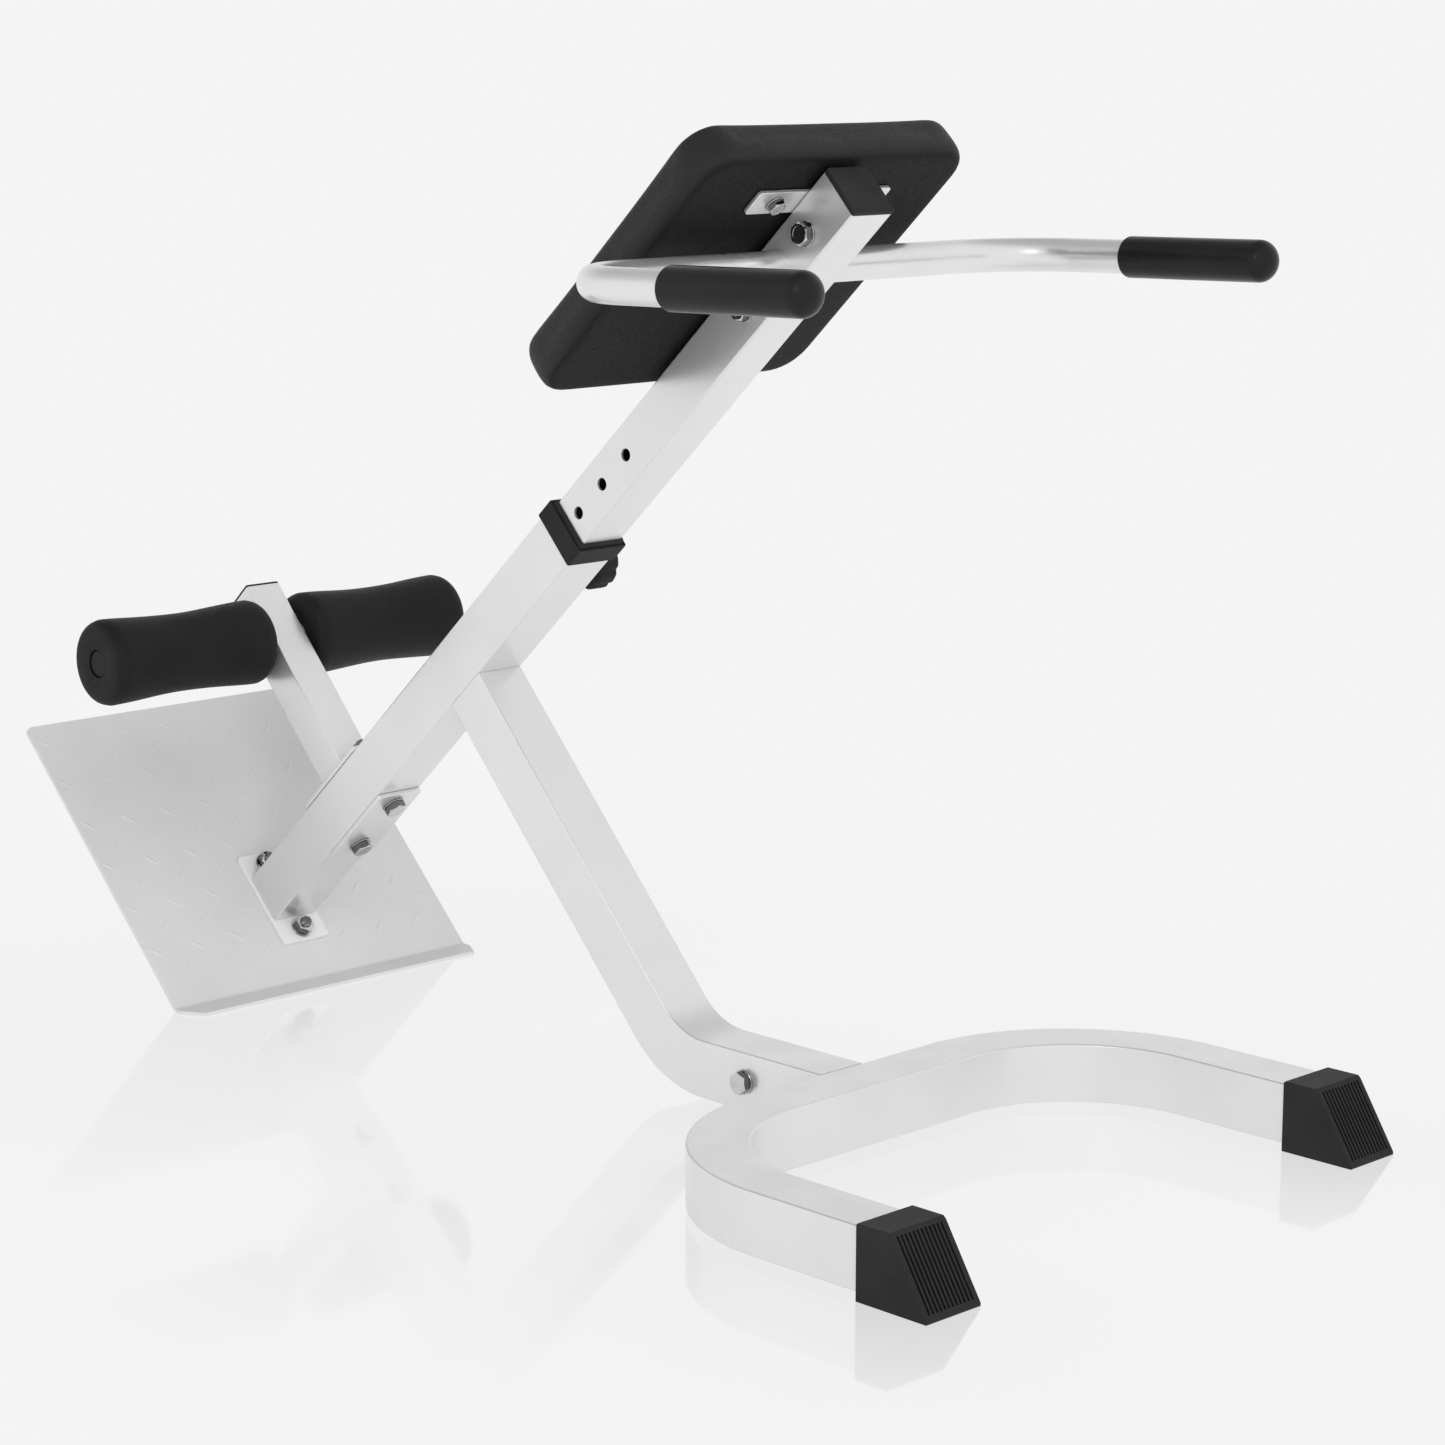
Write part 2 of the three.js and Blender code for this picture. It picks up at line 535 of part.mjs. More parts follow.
function bracket() {
  let body = solid(extrude(roundedRect(25, 148, 3.5), 3));
  for (const y of [-PAD_BOLT_Y, PAD_BOLT_Y]) {
    body = body.subtract(aim(rod(4.3, -9, 9), [0, 0, 1], [0, y, 0]));
  }
  return body;
}

function padBoard() {
  const middle = (PAD.low + PAD.high) / 2, inset = 16;
  let body = solid(extrude(roundedRect(PAD.high - PAD.low - inset, PAD.width - inset, PAD.corner - 8), PAD.board,
    null, 3).translate(middle, 0, PAD.under));
  for (const u of BRACKETS) {
    for (const y of [-PAD_BOLT_Y, PAD_BOLT_Y]) {
      body = body.subtract(aim(rod(5.2, -1, PAD.board + 1), [0, 0, 1], [u, y, PAD.under]));
    }
  }
  return body;
}

// Foam and cover in one soft solid: a rounded slab whose skirt wraps the board's edge.
function padCushion() {
  const middle = (PAD.low + PAD.high) / 2, length = PAD.high - PAD.low;
  const layer = (inset, from, to) => solid(extrude(roundedRect(length - 2 * inset, PAD.width - 2 * inset,
    PAD.corner - inset / 2), to - from, null, 4).translate(middle, 0, from));
  const body = layer(2.5, PAD.under + 1, 33.1).add(layer(0, 33, 60)).add(layer(2, 59.9, 65)).add(layer(6, 64.9, PAD.top));
  const pocket = solid(extrude(roundedRect(length - 15.2, PAD.width - 15.2, PAD.corner - 7.8), PAD.board + 1.4,
    null, 3).translate(middle, 0, PAD.under - 1));
  return body.subtract(pocket);
}

beam.add(part("slider_tube", slider(), paint()));
beam.add(part("slider_end_cap", sliderCap(), blackPlastic()));
beam.add(part("slider_glide", sliderGlide(), blackPlastic()));
beam.add(part("handlebar_carrier", barCarrier(), paint()));
floor.add(part("handlebar", handlebar(), paint()));
for (const [side, name] of [[1, "grip_left"], [-1, "grip_right"]]) {
  floor.add(part(name, aim(grip(), ARM, alongArm(GRIP.start, side)), blackGrip()));
}
for (const [i, u] of CROSS_BOLTS.entries()) {
  const near = new THREE.Matrix4().makeTranslation(u, -SLIDER.side / 2 - GAP, 0);
  const far = new THREE.Matrix4().makeTranslation(u, SLIDER.side / 2 + GAP, 0);
  beam.add(part(`carrier_bolt_${i + 1}`, placed(hexBolt(5, 17, 6.5, 60), near), zinc()));
  beam.add(part(`carrier_nut_${i + 1}`, placed(nut(5, 17, 8), far), zinc()));
}
const bracketLow = SLIDER.side / 2 + GAP;
for (const [i, u] of BRACKETS.entries()) {
  const name = ["lower", "upper"][i];
  const at = new THREE.Matrix4().makeTranslation(u, 0, bracketLow);
  beam.add(part(`pad_bracket_${name}`, placed(bracket(), at), paint()));
  for (const [j, y] of [-PAD_BOLT_Y, PAD_BOLT_Y].entries()) {
    const bolt = aim(hexBolt(4, 13, 5, 12.5), [0, 0, 1], [u, y, bracketLow - GAP]);
    beam.add(part(`pad_bolt_${name}_${j + 1}`, bolt, zinc()));
  }
}
beam.add(part("pad_board", padBoard(), plywood()));
beam.add(part("pad_cushion", padCushion(), vinyl()));

const romanChair = new THREE.Group();
romanChair.name = "roman_chair";
romanChair.add(floor, plate, beam);

export default romanChair;
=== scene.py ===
"""Roman chair (45 degree back-extension bench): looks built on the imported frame.

+X points to the open ends of the base, +Z up, the floor is z = 0, and y = 0 is the plane of symmetry.
B(u, y, h) is a point of the tilted beam: u up its axis, h square to it on the pad's side.
P(x, y, z) is a point of the foot plate: x square to the tread, z up the plate from its fold.
Sizes are written in millimetres, and the scene is in metres.
"""
import math

import bmesh
import bpy
import numpy as np
from mathutils import Matrix, Vector


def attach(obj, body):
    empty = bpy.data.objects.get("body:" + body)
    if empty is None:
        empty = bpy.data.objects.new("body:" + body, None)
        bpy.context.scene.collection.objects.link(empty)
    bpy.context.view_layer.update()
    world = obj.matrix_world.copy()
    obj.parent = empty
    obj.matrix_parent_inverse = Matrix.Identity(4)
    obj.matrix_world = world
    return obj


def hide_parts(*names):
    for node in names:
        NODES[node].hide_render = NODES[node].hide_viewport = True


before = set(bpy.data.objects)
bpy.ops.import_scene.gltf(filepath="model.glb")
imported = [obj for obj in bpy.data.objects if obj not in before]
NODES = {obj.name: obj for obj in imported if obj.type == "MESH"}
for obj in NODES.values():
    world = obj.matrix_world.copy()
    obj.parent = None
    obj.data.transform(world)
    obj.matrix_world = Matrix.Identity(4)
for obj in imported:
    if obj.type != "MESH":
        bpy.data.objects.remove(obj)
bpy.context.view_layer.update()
MM = 0.001

# ---- places ------------------------------------------------------------------------------
TILT = math.radians(42.7)  # the beam's slope
U = Vector((math.cos(TILT), 0, math.sin(TILT)))
H = Vector((-math.sin(TILT), 0, math.cos(TILT)))
BEAM_FOOT = Vector((-460.6, 0, 68.6))
LEAN = math.radians(45)  # the foot plate's slope
PX = Vector((math.cos(LEAN), 0, math.sin(LEAN)))
PZ = Vector((-math.sin(LEAN), 0, math.cos(LEAN)))
FOLD = Vector((-397.4, 0, 3))
Y = Vector((0, 1, 0))

# ---- sizes in millimetres ----------------------------------------------------------------
TUBE, CORNER = 50, 1.7            # beam, upright and base: side and corner radius
BEAM_END = 589.9
FLOOR_TUBE_Z = 30                 # middle of the tubes that lie low
UPRIGHT_AT, UPRIGHT_END_X, UPRIGHT_BEND = 390, 281.8, 90
BASE_LEG_Y, BASE_BACK_X, BASE_END_X, BASE_BEND = 249.5, 307, 585, 145
JOINT_BOLT_X = 194
SLIDER_TUBE, SLIDER_BORE, SLIDER_START, SLIDER_END = 45, 41, 385, 1024
PIN_AT, HOLE_PITCH, HOLE_RADIUS = 535, 40, 5.5
POST_AT, POST_SIDE, POST_TOP, AXLE_UP = 171, 38, 233.8, 185
CLAMP_LENGTH, CLAMP_WIDTH = 101, 50
CLAMP_NEAR, CLAMP_FAR = 25.15, 29.15  # the clamp plates' faces, from the beam's axis
BRACKETS = (("lower", 885), ("upper", 988))
BRACKET_WIDTH, BRACKET_REACH, PAD_BOLT_Y = 25, 148, 50
BAR_AT, BAR_HALF, BAR_REACH, BAR_BEND, BAR_RADIUS = 935, 259, 253.9, 75, 14
BAR_RISE = math.radians(1.2)
PLATE_HALF, PLATE_TOP, PLATE_CORNER, PLATE_THICK, LIP = 173.5, 326, 8, 3.0, 30
FLANGE_UP, FLANGE_THICK = 90.5, 4.15
ROLLER_IN, ROLLER_OUT, WAIST, SWELL = 24, 204, 36.0, 39.6
M10_HEAD = ("bolt", 17, 6.5, 5)   # kind, width across flats, height, thread radius
M10_NUT = ("nut", 17, 8, 5)
M8_HEAD = ("bolt", 13, 5, 4)


def B(u, y, h):
    """A point of the beam."""
    return (BEAM_FOOT + U * u + Y * y + H * h) * MM


def P(x, y, z):
    """A point of the foot plate."""
    return (FOLD + PX * x + Y * y + PZ * z) * MM


def W(x, y, z):
    """A point of the floor's own axes, in millimetres."""
    return Vector((x, y, z)) * MM


def place(origin, x, y, z):
    """A matrix from axes x, y, z to the world, whose own unit is a millimetre."""
    m = Matrix.Identity(4)
    for i, axis in enumerate((x, y, z)):
        for j in range(3):
            m[j][i] = axis[j] * MM
    for j in range(3):
        m[j][3] = origin[j]
    return m


# ---- camera, light and floor -------------------------------------------------------------
AZIMUTH, ELEVATION, ROLL = 45.553, 11.009, 0.084  # degrees
CAMERA_AT = (2.2306, -2.0481, 0.8923)
FOCAL_LENGTH, SENSOR = 89.55, 36

PALE = 0.905    # the studio's even backdrop, as the camera sees it
BRIGHT = 0.98   # how much of it falls on the object
OVERHEAD = 0.42  # and how much from above and a little behind
DULL_SIDE = (-0.4, 0.0, 0.917)
LAMPS = (       # name, place, what it points at, size, power, whether it shows in glossy parts
    ("key", (1.6, -2.6, 2.2), (0, 0, 0.4), 1.1, 7, True),
    ("front", (2.6, -1.5, 0.55), (-0.2, 0, 0.3), 1.0, 20, False),
)
FLOOR_SHEEN = 0.27
# lines on the floor that the sheen surrounds: from, to, reach, in metres
FEET = (
    ((-0.39, -0.17), (-0.39, 0.17), 0.72),
    ((0.15, 0), (0.28, 0), 0.74),
    ((0.28, -0.16), (0.28, 0.16), 0.34),
    ((0.4, -0.26), (0.59, -0.26), 0.34),
    ((0.4, 0.26), (0.59, 0.26), 0.34),
)


def camera():
    az, el, roll = math.radians(AZIMUTH), math.radians(ELEVATION), math.radians(ROLL)
    back = Vector((math.sin(az) * math.cos(el), -math.cos(az) * math.cos(el), math.sin(el)))
    right = (-back).cross(Vector((0, 0, 1))).normalized()
    up = right.cross(-back)
    r = right * math.cos(roll) + up * math.sin(roll)
    u = up * math.cos(roll) - right * math.sin(roll)
    data = bpy.data.cameras.new("camera")
    data.sensor_width, data.lens = SENSOR, FOCAL_LENGTH
    data.clip_start, data.clip_end = 0.05, 200
    cam = bpy.data.objects.new("camera", data)
    m = Matrix.Identity(4)
    for i, axis in enumerate((r, u, back)):
        for j in range(3):
            m[j][i] = axis[j]
    m.translation = Vector(CAMERA_AT)
    cam.matrix_world = m
    bpy.context.scene.collection.objects.link(cam)
    bpy.context.scene.camera = cam


def studio():
    """An even pale backdrop with two soft lamps."""
    scene = bpy.context.scene
    scene.view_settings.view_transform = "Standard"
    world = bpy.data.worlds.new("studio")
    scene.world = world
    world.use_nodes = True
    nt = world.node_tree
    nt.nodes.clear()
    new, link = nt.nodes.new, nt.links.new
    out, mix = new("ShaderNodeOutputWorld"), new("ShaderNodeMixShader")
    seen, light = new("ShaderNodeBackground"), new("ShaderNodeBackground")
    seen.inputs["Color"].default_value = (PALE, PALE, PALE, 1)
    path = new("ShaderNodeLightPath")
    where = new("ShaderNodeTexCoord")
    high = new("ShaderNodeVectorMath")
    high.operation = "DOT_PRODUCT"
    high.inputs[1].default_value = DULL_SIDE
    link(where.outputs["Generated"], high.inputs[0])
    # even all round, then darker overhead and a little behind
    ramp = new("ShaderNodeMapRange")
    ramp.interpolation_type = "SMOOTHSTEP"
    ramp.inputs["From Min"].default_value = 0.5
    ramp.inputs["From Max"].default_value = 0.95
    ramp.inputs["To Min"].default_value = BRIGHT
    ramp.inputs["To Max"].default_value = OVERHEAD
    link(high.outputs["Value"], ramp.inputs["Value"])
    link(ramp.outputs[0], light.inputs["Color"])
    link(path.outputs["Is Camera Ray"], mix.inputs[0])
    link(light.outputs[0], mix.inputs[1])
    link(seen.outputs[0], mix.inputs[2])
    link(mix.outputs[0], out.inputs["Surface"])

    # the floor glows by itself, so the lamps leave it out and it mirrors no lamp
    floor = gloss_floor()
    unlit = bpy.data.collections.new("not_lit_by_lamps")
    unlit.objects.link(floor)
    unlit.collection_objects[0].light_linking.link_state = "EXCLUDE"
    for name, at, look, size, power, in_gloss in LAMPS:
        data = bpy.data.lights.new(name, "AREA")
        data.shape, data.size, data.energy = "DISK", size, power
        lamp = bpy.data.objects.new(name, data)
        lamp.location = at
        lamp.rotation_euler = (Vector(look) - Vector(at)).to_track_quat("-Z", "Y").to_euler()
        lamp.visible_camera = False
        lamp.visible_glossy = in_gloss
        bpy.context.scene.collection.objects.link(lamp)
        lamp.light_linking.receiver_collection = unlit


def gloss_floor():
    """A pale floor whose mirror sheen is strongest where the bench stands, and dies away around it."""
    steps = [-40.0, -8.0, -2.5] + [-1.6 + 0.04 * i for i in range(96)] + [2.5, 8.0, 40.0]
    n = len(steps)
    mesh = bpy.data.meshes.new("floor")
    mesh.from_pydata([(x, y, 0) for y in steps for x in steps], [],
                     [(j * n + i, j * n + i + 1, j * n + n + i + 1, j * n + n + i)
                      for j in range(n - 1) for i in range(n - 1)])
    sheen = mesh.attributes.new("sheen", "FLOAT", "POINT")
    for i, v in enumerate(mesh.vertices):
        best = 0.0
        for a, b, reach in FEET:
            a, b, q = Vector((*a, 0)), Vector((*b, 0)), Vector(v.co)
            t = max(0.0, min(1.0, (q - a).dot(b - a) / (b - a).length_squared))
            best = max(best, 1 - (q - a - (b - a) * t).length / reach)
        sheen.data[i].value = best ** 1.2
    floor = bpy.data.objects.new("floor", mesh)
    bpy.context.scene.collection.objects.link(floor)
    mat = bpy.data.materials.new("floor_gloss")
    mat.use_nodes = True
    nt = mat.node_tree
    nt.nodes.clear()
    new, link = nt.nodes.new, nt.links.new
    path, seen = new("ShaderNodeLightPath"), new("ShaderNodeMix")
    seen.inputs[2].default_value, seen.inputs[3].default_value = BRIGHT, PALE
    glow, gloss = new("ShaderNodeEmission"), new("ShaderNodeBsdfGlossy")
    mix, out = new("ShaderNodeMixShader"), new("ShaderNodeOutputMaterial")
    gloss.inputs["Color"].default_value = (0.84, 0.84, 0.84, 1)
    gloss.inputs["Roughness"].default_value = 0.06
    where = new("ShaderNodeAttribute")
    where.attribute_name = "sheen"
    share = new("ShaderNodeMath")
    share.operation = "MULTIPLY"
    share.inputs[1].default_value = FLOOR_SHEEN
    link(path.outputs["Is Camera Ray"], seen.inputs[0])
    link(seen.outputs[0], glow.inputs["Strength"])
    link(where.outputs["Fac"], share.inputs[0])
    link(share.outputs[0], mix.inputs[0])
    link(glow.outputs[0], mix.inputs[1])
    link(gloss.outputs[0], mix.inputs[2])
    link(mix.outputs[0], out.inputs["Surface"])
    mesh.materials.append(mat)
    return floor


# ---- materials ---------------------------------------------------------------------------
def noise(nt, coord, scale, detail=2.0, rough=0.5, stretch=None):
    n = nt.nodes.new("ShaderNodeTexNoise")
    n.inputs["Scale"].default_value = scale
    n.inputs["Detail"].default_value = detail
    n.inputs["Roughness"].default_value = rough
    if stretch:
        m = nt.nodes.new("ShaderNodeMapping")
        m.inputs["Scale"].default_value = stretch
        nt.links.new(coord, m.inputs["Vector"])
        coord = m.outputs[0]
    nt.links.new(coord, n.inputs["Vector"])
    return n.outputs["Fac"]


def spread(nt, value, low, high, from_low=0.3, from_high=0.7):
    r = nt.nodes.new("ShaderNodeMapRange")
    r.inputs["From Min"].default_value = from_low
    r.inputs["From Max"].default_value = from_high
    r.inputs["To Min"].default_value = low
    r.inputs["To Max"].default_value = high
    nt.links.new(value, r.inputs["Value"])
    return r.outputs[0]


def blend_grey(nt, fac, a, b):
    """A grey between tones a and b."""
    m = nt.nodes.new("ShaderNodeMix")
    m.data_type = "RGBA"
    m.inputs[6].default_value = (a, a, a, 1)
    m.inputs[7].default_value = (b, b, b, 1)
    nt.links.new(fac, m.inputs[0])
    return m.outputs[2]


def material(name, build, **fixed):
    mat = bpy.data.materials.new(name)
    mat.use_nodes = True
    nt = mat.node_tree
    shader = nt.nodes["Principled BSDF"]
    for key, value in fixed.items():
        shader.inputs[key.replace("_", " ")].default_value = value
    coord = nt.nodes.new("ShaderNodeTexCoord").outputs["Object"]
    build(nt, shader, coord)
    return mat


def bump(nt, shader, height, distance, strength=1.0, under=None):
    b = nt.nodes.new("ShaderNodeBump")
    b.inputs["Strength"].default_value = strength
    b.inputs["Distance"].default_value = distance
    nt.links.new(height, b.inputs["Height"])
    if under is not None:
        nt.links.new(under, b.inputs["Normal"])
    nt.links.new(b.outputs[0], shader.inputs["Normal"])
    return b.outputs[0]


def painted(low, high, rough, peel=0.00002):
    """Satin powder coat: fine orange peel, and faint cloudiness in tone and gloss."""
    def build(nt, shader, c):
        cloud = noise(nt, c, 14, 3, 0.55)
        fine = noise(nt, c, 110, 1)
        nt.links.new(blend_grey(nt, spread(nt, cloud, 0, 1), low, high), shader.inputs["Base Color"])
        nt.links.new(spread(nt, noise(nt, c, 24, 1), rough - 0.02, rough + 0.04), shader.inputs["Roughness"])
        bump(nt, shader, fine, peel, 0.25)
    return build


def zinc(low, high):
    """Bright zinc plating, with a slightly uneven tone and gloss."""
    def build(nt, shader, c):
        tone = noise(nt, c, 90, 1)
        nt.links.new(blend_grey(nt, spread(nt, tone, 0, 1), low, high), shader.inputs["Base Color"])
        nt.links.new(spread(nt, noise(nt, c, 300, 1), 0.1, 0.15), shader.inputs["Roughness"])
        bump(nt, shader, noise(nt, c, 200, 1), 0.00002, 0.2)
    return build


def moulded(low, high, rough):
    """Injection-moulded black plastic with a fine spark-eroded grain."""
    def build(nt, shader, c):
        cloud = noise(nt, c, 30, 3)
        nt.links.new(blend_grey(nt, spread(nt, cloud, 0, 1), low, high), shader.inputs["Base Color"])
        nt.links.new(spread(nt, noise(nt, c, 700, 2), rough - 0.06, rough + 0.06), shader.inputs["Roughness"])
        bump(nt, shader, noise(nt, c, 1500, 3, 0.6), 0.00008, 0.6)
    return build


def vinyl_look(nt, shader, c):
    """Matt upholstery vinyl: small leather cells over a slow unevenness; the underside is painted darker and
    less glossy, as painted shade.
    """
    under = nt.nodes.new("ShaderNodeAttribute")
    under.attribute_name = "under"
    cells = nt.nodes.new("ShaderNodeTexVoronoi")
    cells.feature = "SMOOTH_F1"
    cells.inputs["Scale"].default_value = 620
    nt.links.new(c, cells.inputs["Vector"])
    cloud = noise(nt, c, 18, 3)
    top = blend_grey(nt, spread(nt, cloud, 0, 1), 0.0125, 0.017)
    # the underside mask darkens the base colour there: painted shade
    base = nt.nodes.new("ShaderNodeMix")
    base.data_type = "RGBA"
    base.inputs[7].default_value = (0.0085, 0.0085, 0.0085, 1)
    nt.links.new(under.outputs["Fac"], base.inputs[0])
    nt.links.new(top, base.inputs[6])
    nt.links.new(base.outputs[2], shader.inputs["Base Color"])
    nt.links.new(spread(nt, under.outputs["Fac"], 0.25, 0.1, 0, 1), shader.inputs["Specular IOR Level"])
    nt.links.new(spread(nt, cells.outputs["Distance"], 0.42, 0.62, 0.0, 0.6), shader.inputs["Roughness"])
    soft = bump(nt, shader, noise(nt, c, 45, 2), 0.0007, 0.35)
    bump(nt, shader, cells.outputs["Distance"], 0.00035, 0.7, soft)


def foam_look(nt, shader, c):
    """Closed-cell foam skin: pinhole cells, nearly black."""
    cells = nt.nodes.new("ShaderNodeTexVoronoi")
    cells.inputs["Scale"].default_value = 900
    nt.links.new(c, cells.inputs["Vector"])
    cloud = noise(nt, c, 22, 3)
    nt.links.new(blend_grey(nt, spread(nt, cloud, 0, 1), 0.0085, 0.0115), shader.inputs["Base Color"])
    nt.links.new(spread(nt, noise(nt, c, 300, 2), 0.46, 0.6), shader.inputs["Roughness"])
    soft = bump(nt, shader, noise(nt, c, 60, 2), 0.0004, 0.4)
    bump(nt, shader, cells.outputs["Distance"], 0.00012, 0.45, soft)


def grip_look(nt, shader, c):
    """Dipped rubber grip: glossy, with faint drawn streaks along the bar."""
    streak = noise(nt, c, 90, 3, 0.6, (0.12, 1, 1))
    nt.links.new(blend_grey(nt, spread(nt, streak, 0, 1), 0.009, 0.013), shader.inputs["Base Color"])
    nt.links.new(spread(nt, streak, 0.22, 0.36), shader.inputs["Roughness"])
    bump(nt, shader, noise(nt, c, 260, 2), 0.00005, 0.5)


PAINT = material("white_powder_coat", painted(0.73, 0.755, 0.29), Metallic=0.7)
# the frame's white paint made lighter and matt for the flange: painted light
FLANGE_PAINTED_LIGHT = material("flange_coat_painted_light", painted(0.8, 0.83, 0.35), Metallic=0.0)
PLATE = material("grey_plate_coat", painted(0.665, 0.695, 0.42, 0.00004), Metallic=0.0)
ZINC = material("zinc_steel", zinc(0.52, 0.62), Metallic=1.0)
ZINC_PAINTED_SHADE = material("zinc_steel_painted_shade", zinc(0.13, 0.2), Metallic=1.0)  # a darker copy of the zinc: painted shade on the flats, the washer rims and the thread ends
PLASTIC = material("black_moulded", moulded(0.021, 0.027, 0.45), Specular_IOR_Level=0.05)
# near-black painted shade for the slider's bore and holes and for the grooves of the collar and the base caps
PAINTED_SHADE_BLACK = material("black_painted_shade", moulded(0.004, 0.008, 0.8))
GRIP = material("black_grip", grip_look, Specular_IOR_Level=0.16)
FOAM = material("roller_foam", foam_look, Specular_IOR_Level=0.14)
VINYL = material("pad_vinyl", vinyl_look)


# ---- meshes ------------------------------------------------------------------------------
def rounded(width, height, radius, k=4):
    """A rounded rectangle as 2-D points, anticlockwise."""
    pts = []
    for cx, cy, a0 in ((1, 1, 0), (-1, 1, 90), (-1, -1, 180), (1, -1, 270)):  # each corner's first angle
        for i in range(k + 1):
            a = math.radians(a0 + 90 * i / k)
            pts.append((cx * (width / 2 - radius) + radius * math.cos(a),
                        cy * (height / 2 - radius) + radius * math.sin(a)))
    return pts


def circle(radius, n=40):
    turn = [2 * math.pi * i / n for i in range(n)]
    return [(radius * math.cos(a), radius * math.sin(a)) for a in turn]


def loft(rings, caps=True, ring_closed=True, path_closed=False):
    """Faces between rings of equally many points."""
    verts = [p for ring in rings for p in ring]
    n, m = len(rings[0]), len(rings)
    faces = []
    for i in range(m if path_closed else m - 1):
        for j in range(n if ring_closed else n - 1):
            a, b = i * n + j, i * n + (j + 1) % n
            c, d = ((i + 1) % m) * n + (j + 1) % n, ((i + 1) % m) * n + j
            faces.append((a, b, c, d))
    if caps and not path_closed:
        faces.append(tuple(range(n - 1, -1, -1)))
        faces.append(tuple((m - 1) * n + j for j in range(n)))
    return verts, faces


def join(*shells):
    """Several shells as one."""
    verts, faces = [], []
    for v, f in shells:
        k = len(verts)
        verts += list(v)
        faces += [tuple(i + k for i in face) for face in f]
    return verts, faces


def moved(shell, matrix):
    verts, faces = shell
    return [matrix @ Vector(v) for v in verts], faces


def sharpen(mesh, angle=32):
    """Normals outward, and smooth shading but for edges sharper than angle degrees."""
    bm = bmesh.new()
    bm.from_mesh(mesh)
    bmesh.ops.recalc_face_normals(bm, faces=bm.faces)
    for f in bm.faces:
        f.smooth = True
    for e in bm.edges:
        e.smooth = not (len(e.link_faces) == 2 and e.calc_face_angle(0) > math.radians(angle))
    bm.to_mesh(mesh)
    bm.free()


def piece(name, shell, look, body, replaces=(), angle=32, weighted=True):
    """A new object from a shell, dressed and riding on body."""
    mesh = bpy.data.meshes.new(name)
    verts, faces = shell
    mesh.from_pydata([tuple(v) for v in verts], [], faces)
    mesh.validate()
    for m in look if isinstance(look, (list, tuple)) else [look]:
        mesh.materials.append(m)
    obj = bpy.data.objects.new(name, mesh)
    bpy.context.scene.collection.objects.link(obj)
    return dress(obj, body, replaces, angle, weighted=weighted)


def dress(obj, body, replaces=(), angle=32, bevel=None, weighted=True):
    """Shading and softened edges for one object; hides the CAD parts it replaces and hangs it on its body."""
    sharpen(obj.data, angle)
    if bevel:
        b = obj.modifiers.new("edge", "BEVEL")
        b.width, b.segments = bevel * MM, 3
        b.limit_method, b.angle_limit = "ANGLE", math.radians(angle)
        b.use_clamp_overlap = True
        b.harden_normals = True
    if weighted:
        w = obj.modifiers.new("flat", "WEIGHTED_NORMAL")
        w.keep_sharp = True
    if replaces:
        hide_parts(*replaces)
    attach(obj, body)
    return obj


def refined(node, name, look, body, bevel, angle):
    """The CAD node's own shape as a new piece, its triangles merged and its edges softened."""
    bm = bmesh.new()
    bm.from_mesh(NODES[node].data)
    bmesh.ops.remove_doubles(bm, verts=bm.verts, dist=2e-6)
    bmesh.ops.dissolve_limit(bm, angle_limit=math.radians(0.6), verts=bm.verts, edges=bm.edges)
    mesh = bpy.data.meshes.new(name)
    bm.to_mesh(mesh)
    bm.free()
    if mesh.attributes.get("custom_normal"):
        mesh.attributes.remove(mesh.attributes["custom_normal"])
    mesh.materials.clear()
    mesh.materials.append(look)
    for p in mesh.polygons:
        p.material_index = 0
    obj = bpy.data.objects.new(name, mesh)
    bpy.context.scene.collection.objects.link(obj)
    return dress(obj, body, (node,), angle, bevel)


def lathe(profile, n=64):
    """Turned about +Y: profile points are (radius, y), a closed loop or a line from axis to axis."""
    rings = []
    for r, y in profile:
        r = max(r, 0.001)
        rings.append([(x, y, z) for x, z in circle(r, n)])
    closed = profile[0] == profile[-1]
    return loft(rings[:-1] if closed else rings, caps=not closed, path_closed=closed)


def bend_path(corners, radius, step):
    """Stations (point, tangent, side) along straight runs and round bends in one plane."""
    pts = [Vector(c) for c in corners]
    d0 = (pts[1] - pts[0]).normalized()
    plane = None
    out = [(pts[0], d0)]
    for i in range(1, len(pts) - 1):
        before = out[-1][1]
        after = (pts[i + 1] - pts[i]).normalized()
        axis = before.cross(after).normalized()
        plane = plane or axis
        angle = before.angle(after)
        start = pts[i] - before * radius * math.tan(angle / 2)
        centre = start + axis.cross(before) * radius
        n = math.ceil(math.degrees(angle) / step)
        for k in range(n + 1):
            turn = Matrix.Rotation(angle * k / n, 4, axis)
            out.append((turn @ (start - centre) + centre, (turn @ before).normalized()))
    out.append((pts[-1], out[-1][1]))
    return [(p, t, plane) for p, t in out]


def swept(corners, radius, step, section):
    """section points are (along the bend plane's normal, across the tube in the plane)."""
    rings = []
    for p, t, b in bend_path(corners, radius, step):
        n = b.cross(t)
        rings.append([p + b * x + n * y for x, y in section])
    return loft(rings)


MILLI = Matrix.Scale(MM, 4)
BEAM = place(B(0, 0, 0), U, Y, H)
POST = place(B(POST_AT, 0, 0), U, Y, H)
PLATE_FACE = place(P(0, 0, 0), PX, Y, PZ)


def across_beam(width, corner):
    """A square section round the beam's axis, as (y, h) points."""
    return rounded(width, width, corner)


def beam_rings(section, stations):
    return [[(u, y, h) for y, h in section] for u in stations]


